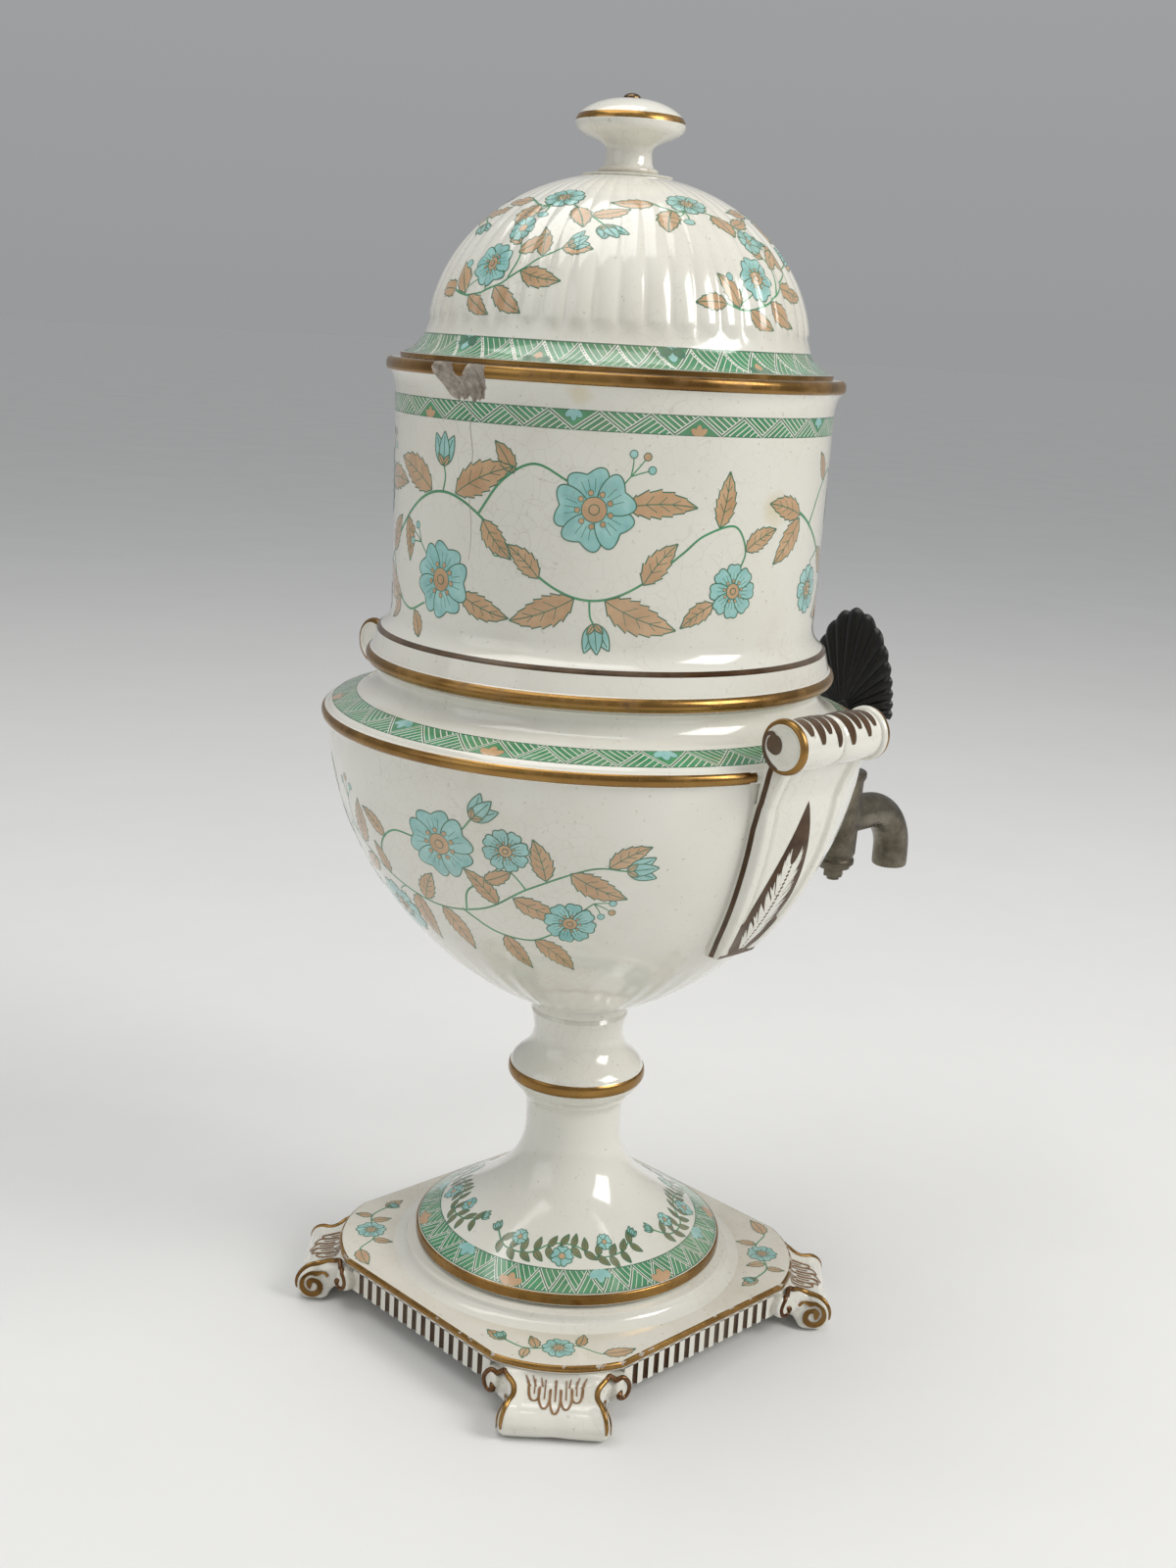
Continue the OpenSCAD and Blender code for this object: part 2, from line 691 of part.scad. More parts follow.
vessel_outer = concat(
    [[bead_mid.x - ease, collar_z]],
    arc(bead_mid, vessel_bead_h / 2, -84, 70, 8),
    [flare_foot],
    curve(flare_lip, flare_lip + [-3 * ease, 2 * ease], flare_top - [0, flare_pull_up], flare_top, 7),
    curve(sweep_low, sweep_low + [0, rim_sweep / 2], rim_low - [2 * ease, 2 * ease], rim_low, 6),
    [[vessel_rim_r, rim_low.y + rim_ease], [vessel_rim_r, rim_z - rim_ease], [vessel_rim_r - rim_ease, rim_z]]
);
floor_ease = 2;
floor_top_z = floor_z + strainer_t;
floor_low_z = floor_z - vessel_floor;
vessel_inner = [
    [vessel_bore, rim_z], [vessel_bore, floor_top_z + floor_ease], [vessel_bore - floor_ease, floor_top_z],
    [strainer_seat_r, floor_top_z], [strainer_seat_r, floor_z], [drain_r, floor_z], [drain_r, floor_low_z],
    [spigot_bore - floor_ease, floor_low_z], [spigot_bore, floor_low_z - floor_ease],
    [spigot_bore, collar_z - spigot_l], [spigot_r, collar_z - spigot_l], [spigot_r, collar_z]
];

module upper_vessel() {
    color(ivory) rotate_extrude() polygon(concat(vessel_outer, vessel_inner));
}

// Strainer
strainer_pitch = (drain_r - 2.5 * strainer_hole_r) / strainer_rings;
stud_r = lift_knob_r * 0.3;
lift_waist = lift_knob_r * 0.7;
lift_mid = lift_knob_h * 0.5;

module strainer() {
    color(ivory)
        translate([0, 0, floor_z])
            difference() {
                cylinder(r = strainer_r, h = strainer_t);
                for (k = [1:strainer_rings])
                    for (i = [0:6 * k - 1])
                        rotate(60 * i / k) translate([k * strainer_pitch, 0, -past])
                            cylinder(r = strainer_hole_r, h = strainer_t + 2 * past);
                translate([0, 0, -past]) cylinder(r = stud_r + hole_gap, h = strainer_t + 2 * past);
            }
}

lift_knob_side = concat(
    [[lift_waist, 0]],
    curve([lift_waist, ease], [lift_knob_r * 0.4, 2 * ease], [lift_knob_r * 0.4, lift_mid * 0.8],
        [lift_waist, lift_mid], 5),
    rest(curve([lift_waist, lift_mid], [lift_knob_r * 1.2, lift_mid * 1.4], [lift_knob_r, lift_knob_h],
        [0, lift_knob_h], 7))
);

module strainer_knob() {
    color(pewter)
        translate([0, 0, floor_z + strainer_t]) {
            rotate_extrude() polygon(concat([[0, 0]], lift_knob_side));
            translate([0, 0, -strainer_t]) cylinder(r = stud_r, h = strainer_t + past);
            translate([0, 0, -strainer_t - washer_t]) cylinder(r = lift_waist, h = washer_t);
        }
}

// Lid
dome_z = rim_z + lid_edge + lid_sweep_h;
dome_h = (crown_z - dome_z) / sqrt(1 - pow(knob_base_r / dome_r, 2));
reed_low_z = dome_z + plain_band_h;
dome_a0 = asin(plain_band_h / dome_h);
dome_a1 = acos(knob_base_r / dome_r);
crown_t = lid_wall;
inner_r = dome_r - lid_wall;
inner_h = dome_h - lid_wall;
inner_a1 = asin((crown_z - crown_t - dome_z) / inner_h);
lid_rim_r = vessel_bore - lift_gap;
lid_rim_bore = lid_rim_r - lid_wall;
ledge_r = dome_r * cos(dome_a0);
bolt_hole_r = knob_bolt_r + hole_gap;
// Plain crown between the reeds' tops and the knob, as an angle
crown_a = 3;
reed_top_a = dome_a1 - crown_a;
// How the lid's sweep draws in from its edge
sweep_pull = 5;

// Oval arc of a dome of radius r and height h from angle a0 to a1
function dome(r, h, a0, a1, n) = [
    for (i = [0:n])
        let (a = a0 + (a1 - a0) * i / n)
        [r * cos(a), dome_z + h * sin(a)]
];

lid_outer = concat(
    [[lid_rim_r, rim_z], [lid_r - ease / 2, rim_z], [lid_r, rim_z + ease / 2]],
    curve([lid_r, rim_z + lid_edge], [lid_r - sweep_pull, rim_z + lid_edge + ease],
        [ledge_r + 2 * ease, dome_z - ease], [ledge_r + ease, dome_z + 2 * ease], 6),
    [[ledge_r - ease / 2, reed_low_z - 2 * ease]],
    dome(dome_r, dome_h, dome_a0, dome_a1, 20)
);
lid_inner = concat(
    [[lid_rim_r, rim_z - lid_rim_l], [lid_rim_bore, rim_z - lid_rim_l], [lid_rim_bore, rim_z + lid_edge]],
    dome(inner_r, inner_h, 0, inner_a1, 16)
);
reed_groove = concat(
    dome(dome_r + ease, dome_h + ease, dome_a0, reed_top_a, 8),
    reversed(dome(dome_r - reed_depth, dome_h - reed_depth, dome_a0, reed_top_a, 8))
);

module lid() {
    color(ivory)
        difference() {
            rotate_extrude()
                polygon(concat([[0, crown_z]], reversed(lid_outer), lid_inner, [[0, crown_z - crown_t]]));
            translate([0, 0, crown_z - crown_t - past]) cylinder(r = bolt_hole_r, h = crown_t + 2 * past);
            for (i = [0:reed_count - 1])
                rotate(360 / reed_count * i - reed_gap / 2)
                    rotate_extrude(angle = reed_gap) polygon(reed_groove);
        }
}

// Knob and its bolt
knob_waist = [knob_neck_r, knob_neck_h];
knob_wide = [knob_r, knob_wide_h];
cap_h = knob_h - knob_wide_h;
cap_low = knob_wide_h - knob_neck_h;
knob_side = concat(
    [[knob_base_r, 0]],
    curve([knob_base_r, ease], [(knob_base_r + knob_neck_r) / 2, ease], [knob_neck_r, knob_neck_h / 3],
        knob_waist, 7),
    rest(curve(knob_waist, knob_waist + [0, cap_low * 0.4], knob_wide - [2 * ease, cap_low / 2],
        knob_wide, 8)),
    rest(curve(knob_wide, knob_wide + [0, cap_h * 0.45], [knob_r - cap_h, knob_h], [bolt_head_r, knob_h], 8))
);

module lid_knob() {
    color(ivory)
        translate([0, 0, crown_z])
            difference() {
                rotate_extrude() polygon(concat([[0, 0]], knob_side, [[0, knob_h]]));
                translate([0, 0, -past]) cylinder(r = bolt_hole_r, h = knob_h + 2 * past);
            }
}

knob_washer_z = crown_z - crown_t - washer_t;
knob_nut_z = knob_washer_z - small_nut_h;
bolt_low_z = knob_nut_z - thread_out;
bolt_head_side = curve([bolt_head_r, 0], [bolt_head_r, bolt_head_h * 0.6], [bolt_head_r * 0.6, bolt_head_h],
    [0, bolt_head_h], 8);

module knob_bolt() {
    color(pewter) {
        translate([0, 0, knob_top_z]) rotate_extrude() polygon(concat([[0, 0]], bolt_head_side));
        translate([0, 0, bolt_low_z]) cylinder(r = knob_bolt_r, h = knob_top_z - bolt_low_z);
    }
}

module knob_washer() {
    color(leather) translate([0, 0, knob_washer_z]) ring(bolt_hole_r + washer_rim, bolt_hole_r, washer_t);
}

module knob_nut() {
    color(steel) translate([0, 0, knob_nut_z]) hex_nut(knob_bolt_r, small_nut_h);
}

// Tie rod through bowl, pedestal and plinth
rod_top_z = bowl_z + bowl_floor + soft_t;
tie_washer_z = plate_z - boss_h - washer_t;
tie_nut_z = tie_washer_z - nut_h;
rod_low_z = tie_nut_z - thread_out;

module tie_rod() {
    color(steel) {
        translate([0, 0, rod_low_z]) cylinder(r = rod_r, h = rod_top_z - rod_low_z);
        translate([0, 0, rod_top_z]) cylinder(r1 = rod_head_r, r2 = rod_head_r - 2 * ease, h = rod_head_h);
    }
}

module tie_head_washer() {
    color(leather) translate([0, 0, bowl_z + bowl_floor]) ring(rod_hole_r + washer_rim, rod_hole_r, soft_t);
}

module tie_foot_washer() {
    color(steel) translate([0, 0, tie_washer_z]) ring(rod_hole_r + 2 * washer_rim, rod_hole_r, washer_t);
}

module tie_nut() {
    color(steel) translate([0, 0, tie_nut_z]) hex_nut(rod_r, nut_h);
}

// Tap
tap_low_z = tap_z - barrel_h / 2;
tap_top_z = tap_z + barrel_h / 2;
flange_x = seat_out_x + soft_t;
back_nut_x = seat_in_x - soft_t - nut_h;
shank_in_x = back_nut_x - thread_out;
bend_x = tap_reach + spout_reach - bend_r;
bend_z = tap_z - bend_r;
outlet_z = tap_z - spout_drop;
barrel_ring_h = 3;

// A tube of radius r from inside the barrel through the bend to the outlet, longer by extra at its end
module spout_run(r, extra) {
    translate([tap_reach, 0, tap_z]) along_x() cylinder(r = r, h = bend_x - tap_reach);
    translate([bend_x, 0, bend_z]) rotate([90, 0, 0])
        rotate_extrude(angle = 90) translate([bend_r, 0]) circle(r = r);
    translate([bend_x + bend_r, 0, outlet_z - extra]) cylinder(r = r, h = bend_z - outlet_z + extra);
}

module tap_body() {
    color(pewter)
        difference() {
            union() {
                translate([shank_in_x, 0, tap_z]) along_x() cylinder(r = shank_r, h = tap_reach - shank_in_x);
                translate([flange_x, 0, tap_z]) along_x() cylinder(r = flange_r, h = flange_t);
                translate([flange_x + flange_t, 0, tap_z]) along_x()
                    cylinder(r1 = flange_r - 2 * ease, r2 = shank_r, h = flange_t);
                translate([tap_reach, 0, tap_low_z])
                    cylinder(r1 = barrel_low_r, r2 = barrel_top_r, h = barrel_h);
                translate([tap_reach, 0, tap_top_z - barrel_ring_h])
                    cylinder(r = barrel_top_r + ease, h = barrel_ring_h);
                translate([tap_reach, 0, tap_low_z]) cylinder(r = barrel_low_r + ease, h = barrel_ring_h);
                spout_run(spout_r, 0);
            }
            translate([shank_in_x - past, 0, tap_z]) along_x()
                cylinder(r = waterway_r, h = tap_reach - shank_in_x + past);
            spout_run(outlet_r, past);
            translate([tap_reach, 0, tap_low_z])
                cylinder(r1 = plug_low_r + turn_gap, r2 = plug_top_r + turn_gap, h = barrel_h);
        }
}

tap_washer_r = tap_hole_r + washer_rim - ease;

module tap_outer_washer() {
    color(leather) translate([seat_out_x, 0, tap_z]) along_x() ring(tap_washer_r, tap_hole_r, soft_t);
}

module tap_inner_washer() {
    color(leather)
        translate([seat_in_x - soft_t, 0, tap_z]) along_x() ring(tap_washer_r, tap_hole_r, soft_t);
}

module tap_back_nut() {
    color(pewter) translate([back_nut_x, 0, tap_z]) along_x() hex_nut(shank_r, nut_h);
}

plug_stud_r = plug_low_r * 0.56;
plug_washer_z = tap_low_z - turn_gap - washer_t;
plug_nut_z = plug_washer_z - small_nut_h;
stud_low_z = plug_nut_z - thread_out;
neck_z = tap_top_z + hole_gap;
shell_z = neck_z + shell_neck_l;
tang_z = shell_z - hole_gap;
pin_z = neck_z + shell_neck_l / 2;
port_r = waterway_r - hole_gap;

module tap_plug() {
    color(pewter)
        translate([tap_reach, 0, 0])
            difference() {
                union() {
                    translate([0, 0, tap_low_z]) cylinder(r1 = plug_low_r, r2 = plug_top_r, h = barrel_h);
                    translate([0, 0, stud_low_z]) cylinder(r = plug_stud_r, h = tap_low_z - stud_low_z);
                    translate([-tang_t / 2, -tang_w / 2, tap_top_z])
                        cube([tang_t, tang_w, tang_z - tap_top_z]);
                }
                translate([0, 0, tap_z]) rotate([90, 0, 0])
                    cylinder(r = port_r, h = 4 * plug_top_r, center = true);
                translate([0, 0, pin_z]) along_x() cylinder(r = pin_r, h = 2 * tang_t, center = true);
            }
}

module plug_washer() {
    color(pewter)
        translate([tap_reach, 0, plug_washer_z]) ring(barrel_low_r - ease, plug_stud_r + turn_gap, washer_t);
}

module plug_nut() {
    color(pewter) translate([tap_reach, 0, plug_nut_z]) hex_nut(plug_stud_r, small_nut_h);
}

// Shell handle: a ribbed fan in the plane across the tap
fan_a = 98;
rib_steps = 4;
fan_columns = shell_ribs * rib_steps;
fan_rows = 6;
fan_root = shell_neck_r / 2;
scallop = 0.05;

// Reach of the fan at an angle from upright
function fan_reach(a) = 1 / sqrt(pow(cos(a) / shell_h, 2) + pow(sin(a) / shell_half_w, 2));

// Height of a rib across its width, 1 on the crest and 0 in the groove
function rib(j) = abs(sin(180 * j / rib_steps));

// Share of the edge's thickness at a share s of the way from root to edge, rounded off at the edge
function fan_swell(s) = (0.34 + 0.5 * s) * sqrt(1 - 0.8 * pow(max(0, 5 * s - 4), 2));

// A point of the fan: row i from root to edge, column j across, on the face with side 1 or -1
function fan_point(i, j, side) =
    let (
        a = -fan_a + 2 * fan_a * j / fan_columns,
        s = i / fan_rows,
        edge = fan_reach(a) * (1 - scallop + scallop * rib(j)),
        reach = fan_root + (edge - fan_root) * s,
        half_t = shell_edge_t / 2 * fan_swell(s) * (0.72 + 0.28 * rib(j))
    )
    [side * half_t, reach * sin(a), reach * cos(a)];

fan_stride = fan_columns + 1;
fan_face = (fan_rows + 1) * fan_stride;
fan_points = [for (side = [1, -1]) for (i = [0:fan_rows]) for (j = [0:fan_columns]) fan_point(i, j, side)];

// Index of a fan point: face 0 or 1, row and column
function fan_at(f, i, j) = f * fan_face + i * fan_stride + j;

// Two triangles that close the corners a, b, c, d taken clockwise from outside
function quad(a, b, c, d) = [[a, b, c], [a, c, d]];

fan_faces = concat(
    [for (i = [0:fan_rows - 1]) for (j = [0:fan_columns - 1]) each concat(
        quad(fan_at(0, i, j), fan_at(0, i + 1, j), fan_at(0, i + 1, j + 1), fan_at(0, i, j + 1)),
        quad(fan_at(1, i, j), fan_at(1, i, j + 1), fan_at(1, i + 1, j + 1), fan_at(1, i + 1, j))
    )],
    [for (j = [0:fan_columns - 1]) each concat(
        quad(fan_at(0, fan_rows, j), fan_at(1, fan_rows, j), fan_at(1, fan_rows, j + 1),
            fan_at(0, fan_rows, j + 1)),
        quad(fan_at(0, 0, j), fan_at(0, 0, j + 1), fan_at(1, 0, j + 1), fan_at(1, 0, j))
    )],
    [for (i = [0:fan_rows - 1]) each concat(
        quad(fan_at(0, i, 0), fan_at(1, i, 0), fan_at(1, i + 1, 0), fan_at(0, i + 1, 0)),
        quad(fan_at(0, i, fan_columns), fan_at(0, i + 1, fan_columns), fan_at(1, i + 1, fan_columns),
            fan_at(1, i, fan_columns))
    )]
);

// Waist of the neck, and the rounded boss where the neck runs into the shell
neck_waist_r = shell_neck_r - 2 * ease;
boss_low = [shell_neck_r, shell_neck_l - 2 * ease];
boss_top = shell_neck_l + shell_neck_r;
neck_side = concat(
    [[shell_neck_r - ease, 0]],
    curve([shell_neck_r, ease], [neck_waist_r, shell_neck_l / 4], [neck_waist_r, shell_neck_l * 0.6],
        boss_low, 6),
    rest(curve(boss_low, boss_low + [ease / 2, shell_neck_r * 0.6], [shell_neck_r * 0.6, boss_top],
        [0, boss_top], 6))
);

module shell_handle() {
    color(ebony)
        translate([tap_reach, 0, neck_z])
            difference() {
                union() {
                    translate([0, 0, shell_neck_l]) polyhedron(fan_points, fan_faces);
                    rotate_extrude() polygon(concat([[0, 0]], neck_side));
                }
                translate([-tang_t / 2 - turn_gap, -tang_w / 2 - turn_gap, -past])
                    cube([tang_t + 2 * turn_gap, tang_w + 2 * turn_gap, tang_z - neck_z + past + turn_gap]);
                translate([0, 0, pin_z - neck_z]) along_x()
                    cylinder(r = pin_r, h = 4 * shell_neck_r, center = true);
            }
}

module handle_pin() {
    color(steel)
        translate([tap_reach - neck_waist_r, 0, pin_z]) along_x() cylinder(r = pin_r, h = 2 * neck_waist_r);
}

plinth();
scroll_foot_1();
scroll_foot_2();
scroll_foot_3();
scroll_foot_4();
pedestal_bed();
pedestal();
bowl_seat_washer();
bowl();
handle_left();
handle_right();
upper_vessel();
strainer();
strainer_knob();
lid();
lid_knob();
knob_bolt();
knob_washer();
knob_nut();
tie_rod();
tie_head_washer();
tie_foot_washer();
tie_nut();
tap_body();
tap_outer_washer();
tap_inner_washer();
tap_back_nut();
tap_plug();
plug_washer();
plug_nut();
shell_handle();
handle_pin();
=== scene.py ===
# %% [markdown]
# # A two-tier tea urn
#
# The urn is old glazed earthenware: a square plinth on scroll feet, a pedestal, a deep bowl with a plug tap
# and two roll handles, a straight brewing vessel that stands in the bowl's neck, and a reeded lid.
# The CAD model gives every place and size. This lesson dresses it, one piece or one finish in each step.
# All lengths in the lesson are in millimetres and become metres when a mesh is made.

# %% The frame
import math

import bpy
import numpy as np
from mathutils import Matrix, Vector


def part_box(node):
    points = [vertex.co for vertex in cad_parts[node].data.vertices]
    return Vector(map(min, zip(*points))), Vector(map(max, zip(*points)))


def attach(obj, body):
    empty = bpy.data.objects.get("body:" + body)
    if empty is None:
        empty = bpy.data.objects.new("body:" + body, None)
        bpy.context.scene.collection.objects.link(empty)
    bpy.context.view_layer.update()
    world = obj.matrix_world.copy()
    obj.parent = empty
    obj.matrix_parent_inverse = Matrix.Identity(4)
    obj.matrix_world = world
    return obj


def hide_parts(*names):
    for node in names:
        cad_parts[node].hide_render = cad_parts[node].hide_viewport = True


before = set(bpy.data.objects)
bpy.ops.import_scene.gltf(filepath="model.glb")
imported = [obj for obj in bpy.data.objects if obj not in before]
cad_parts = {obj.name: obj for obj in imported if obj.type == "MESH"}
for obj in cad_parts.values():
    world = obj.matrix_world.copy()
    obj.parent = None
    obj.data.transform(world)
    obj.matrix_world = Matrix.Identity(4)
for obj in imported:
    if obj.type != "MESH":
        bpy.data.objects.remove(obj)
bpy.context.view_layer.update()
mm = 0.001

# %% Levels that the frame gives
LOW, HIGH = 0, 1


def level(node, end):
    """Height of a node's lowest or highest point."""
    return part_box(node)[end].z / mm


plate_z = level("scroll_foot_1", HIGH)
seat_z = level("plinth", HIGH)
pedestal_z = level("pedestal", LOW)
bowl_z = level("bowl", LOW)
collar_z = level("bowl", HIGH)
rim_z = level("upper_vessel", HIGH)
crown_z = level("lid_knob", LOW)
knob_top_z = level("lid_knob", HIGH)
print("levels:", [round(z, 1) for z in (plate_z, seat_z, pedestal_z, bowl_z, collar_z, rim_z, crown_z)])

# %% [markdown]
# ## Camera, floor and light
#
# The camera stands where the photo was taken: a little above the urn's rim and close by, so the plinth is
# seen from above. Its place and turn were worked out from the rings of the urn, which show as ovals. It
# could also be aimed with a Track To constraint, but three measured directions leave nothing to tune. A
# pale floor and three soft lamps make a small studio. A picture of a room could light the urn too, but
# lamps need no file.

# %% Camera
camera_lens = 41.61
camera_at = Vector((-0.4583, -0.4643, 0.3717))
camera_right = Vector((0.7221, -0.6896, 0.0553))
camera_up = Vector((0.1290, 0.2127, 0.9686))
camera_back = Vector((-0.6797, -0.6922, 0.2426))

bpy.ops.object.select_all(action='DESELECT')
bpy.ops.object.camera_add(location=camera_at)
camera = bpy.context.object
camera.data.lens = camera_lens
camera.data.clip_start = 0.01
turn = Matrix((camera_right, camera_up, camera_back)).transposed()
camera.matrix_world = Matrix.Translation(camera_at) @ turn.to_4x4()
bpy.context.scene.camera = camera
bpy.context.scene.view_settings.view_transform = 'Standard'
print("camera", [round(c, 3) for c in camera.location], "lens", camera_lens)

# %% Floor
bpy.ops.object.select_all(action='DESELECT')
bpy.ops.mesh.primitive_plane_add(size=60.0, location=(0, 0, 0))
floor = bpy.context.object
floor.name = "floor"
print("floor", round(floor.dimensions.x), "m wide")

# %% A short way to wire nodes
def fill(tree, inputs, sockets):
    """Fills sockets with values or with other nodes' outputs."""
    for key, value in sockets.items():
        if isinstance(value, bpy.types.NodeSocket):
            tree.links.new(value, inputs[key])
        else:
            inputs[key].default_value = value


def wire(tree, kind, settings=None, sockets=None):
    """Adds a node, sets its own properties and fills its sockets."""
    node = tree.nodes.new(kind)
    for key, value in (settings or {}).items():
        setattr(node, key, value)
    fill(tree, node.inputs, sockets or {})
    return node


def ramp(tree, value, low, high, out_low=0.0, out_high=1.0):
    """Stretches a value from low..high to out_low..out_high, with its ends held."""
    node = wire(tree, "ShaderNodeMapRange", None, {"Value": value, "From Min": low, "From Max": high,
                                                   "To Min": out_low, "To Max": out_high})
    return node.outputs["Result"]


# %% Soft light
aim = Vector((0, 0, 0.24))


def softbox(name, place, width, height, power, tint):
    """A rectangular soft light that looks at the urn."""
    bpy.ops.object.light_add(type='AREA', location=place)
    lamp = bpy.context.object
    lamp.name = name
    lamp.data.shape = 'RECTANGLE'
    lamp.data.size = width
    lamp.data.size_y = height
    lamp.data.energy = power
    lamp.data.color = tint
    lamp.rotation_euler = (aim - Vector(place)).to_track_quat('-Z', 'Y').to_euler()


daylight = (1.0, 0.985, 0.955)
softbox("key_window", (0.55, -1.35, 1.2), 0.75, 0.9, 17.0, daylight)
softbox("fill_window", (-1.5, 0.35, 0.9), 1.1, 1.0, 3.2, (0.97, 0.985, 1.0))
softbox("overhead", (-0.2, 0.2, 1.7), 1.2, 1.2, 11.5, daylight)
world = bpy.data.worlds.new("room")
bpy.context.scene.world = world
world.use_nodes = True
sky = world.node_tree
view = wire(sky, "ShaderNodeTexCoord").outputs["Generated"]
upward = wire(sky, "ShaderNodeSeparateXYZ", None, {0: view}).outputs["Z"]
fill(sky, sky.nodes["Background"].inputs, {"Color": (0.93, 0.94, 0.96, 1),
                                           "Strength": ramp(sky, upward, 0.0, 0.6, 0.342, 0.45)})

# %% [markdown]
# ## Finishes
#
# Everything on the pottery lies under or on the same old glaze: ivory ground, print colours and gilding all
# share its crazing, specks and tea stains. So the ageing is one shader node group that takes a colour and
# gives it back aged, and each finish places that group with its own colour. Painted image textures would do
# the same, but nodes stay sharp at any distance.

# %% Starting finishes and mixing
FINISH = {}


def new_finish(name, shown):
    """Starts a finish: gives its node tree and its shader's sockets."""
    finish = bpy.data.materials.new(name)
    finish.use_nodes = True
    finish.diffuse_color = shown
    FINISH[name] = finish
    return finish.node_tree, finish.node_tree.nodes["Principled BSDF"].inputs


def own_place(tree):
    return wire(tree, "ShaderNodeTexCoord").outputs["Object"]


def bump(tree, height, strength, distance):
    node = wire(tree, "ShaderNodeBump", None, {"Height": height, "Strength": strength, "Distance": distance})
    return node.outputs["Normal"]


def times(tree, a, b):
    return wire(tree, "ShaderNodeMath", {"operation": 'MULTIPLY'}, {0: a, 1: b}).outputs[0]


def blend(tree, share, a, b):
    """Mixes two colours."""
    node = wire(tree, "ShaderNodeMix", {"data_type": 'RGBA'}, {0: share, 6: a, 7: b})
    return node.outputs[2]


def noise(tree, place, scale, detail=3.0, rough=0.55):
    node = wire(tree, "ShaderNodeTexNoise", None, {"Vector": place, "Scale": scale, "Detail": detail,
                                                   "Roughness": rough})
    return node.outputs["Fac"]


def new_group(name, sockets_in, sockets_out):
    """An empty node group with named sockets."""
    group = bpy.data.node_groups.new(name, "ShaderNodeTree")
    for title, kind, value in sockets_in:
        socket = group.interface.new_socket(title, in_out='INPUT', socket_type=kind)
        socket.default_value = value
    for title, kind in sockets_out:
        group.interface.new_socket(title, in_out='OUTPUT', socket_type=kind)
    return group, group.nodes.new("NodeGroupInput").outputs, group.nodes.new("NodeGroupOutput").inputs


# %% Aged glaze
COLOUR, NUMBER = "NodeSocketColor", "NodeSocketFloat"
tea_stain = (0.47, 0.35, 0.20, 1)
craze_dirt = (0.30, 0.22, 0.14, 1)


def aged_glaze_group():
    """Clouds, tea stains, crazing and specks over a given colour."""
    group, given, result = new_group(
        "aged glaze",
        [("Colour", COLOUR, (1, 1, 1, 1)), ("Craze", NUMBER, 0.3), ("Stain", NUMBER, 0.3),
         ("Speck", NUMBER, 0.3)],
        [("Colour", COLOUR), ("Roughness", NUMBER), ("Height", NUMBER)])
    place = own_place(group)
    clouds = noise(group, place, 26.0, 5.0)
    shade = blend(group, ramp(group, clouds, 0.35, 0.75, 0.0, 0.16), given["Colour"], (0.60, 0.56, 0.47, 1))
    patches = noise(group, place, 13.0, 4.0, 0.6)
    stained = times(group, ramp(group, patches, 0.54, 0.80), given["Stain"])
    shade = blend(group, stained, shade, tea_stain)
    wander = wire(group, "ShaderNodeTexNoise", None, {"Vector": place, "Scale": 90.0, "Detail": 2.0})
    shift = wire(group, "ShaderNodeVectorMath", {"operation": 'MULTIPLY_ADD'},
                 {0: wander.outputs["Color"], 1: (0.004, 0.004, 0.004), 2: place})
    cracks = wire(group, "ShaderNodeTexVoronoi", {"feature": 'DISTANCE_TO_EDGE'},
                  {"Vector": shift.outputs[0], "Scale": 190.0})
    line = ramp(group, cracks.outputs["Distance"], 0.0, 0.030, 1.0, 0.0)
    spread = ramp(group, noise(group, place, 19.0, 2.0), 0.40, 0.62)
    crazed = times(group, times(group, line, spread), given["Craze"])
    shade = blend(group, crazed, shade, craze_dirt)
    specks = ramp(group, noise(group, place, 620.0, 1.5), 0.69, 0.74)
    shade = blend(group, times(group, specks, given["Speck"]), shade, craze_dirt)
    swell = noise(group, place, 70.0, 2.0)
    group.links.new(shade, result["Colour"])
    group.links.new(ramp(group, clouds, 0.3, 0.8, 0.10, 0.24), result["Roughness"])
    group.links.new(swell, result["Height"])
    return group


aged_glaze = aged_glaze_group()
print("aged glaze:", len(aged_glaze.nodes), "nodes")

# %% Glazed finishes
glaze_coat = 0.6
glaze_swell = 0.05
tea_marks = [((1.3, -76.5, 318.0), 6.0), ((-62.0, -47.0, 353.0), 4.0)]
mark_tone = (0.60, 0.49, 0.23, 1)
mark_share = 0.45


def with_marks(tree, place, tone):
    """Lays soft, uneven tea marks of some millimetres on a tone."""
    for spot, size in tea_marks:
        far = wire(tree, "ShaderNodeVectorMath", {"operation": 'DISTANCE'},
                   {0: place, 1: [c * mm for c in spot]})
        uneven = wire(tree, "ShaderNodeMath", {"operation": 'MULTIPLY_ADD'},
                      {0: noise(tree, place, 170.0), 1: 1.1 * size * mm, 2: far.outputs["Value"]})
        share = ramp(tree, uneven.outputs[0], 0.9 * size * mm, 1.7 * size * mm, mark_share, 0.0)
        tone = blend(tree, share, tone, mark_tone)
    return tone


def glazed(name, pale, deep, wash, craze=0.22, stain=0.2, speck=0.3):
    """A colour under the old glaze, washed between a pale and a deep tone."""
    tree, shader = new_finish(name, pale)
    place = own_place(tree)
    tone = blend(tree, ramp(tree, noise(tree, place, wash, 4.0), 0.32, 0.68), pale, deep)
    if name == "ivory":
        tone = with_marks(tree, place, tone)
    age = wire(tree, "ShaderNodeGroup", {"node_tree": aged_glaze},
               {"Colour": tone, "Craze": craze, "Stain": stain, "Speck": speck}).outputs
    fill(tree, shader, {"Base Color": age["Colour"], "Roughness": age["Roughness"],
                        "Normal": bump(tree, age["Height"], glaze_swell, 0.002),
                        "Coat Weight": glaze_coat, "Coat Roughness": 0.06})


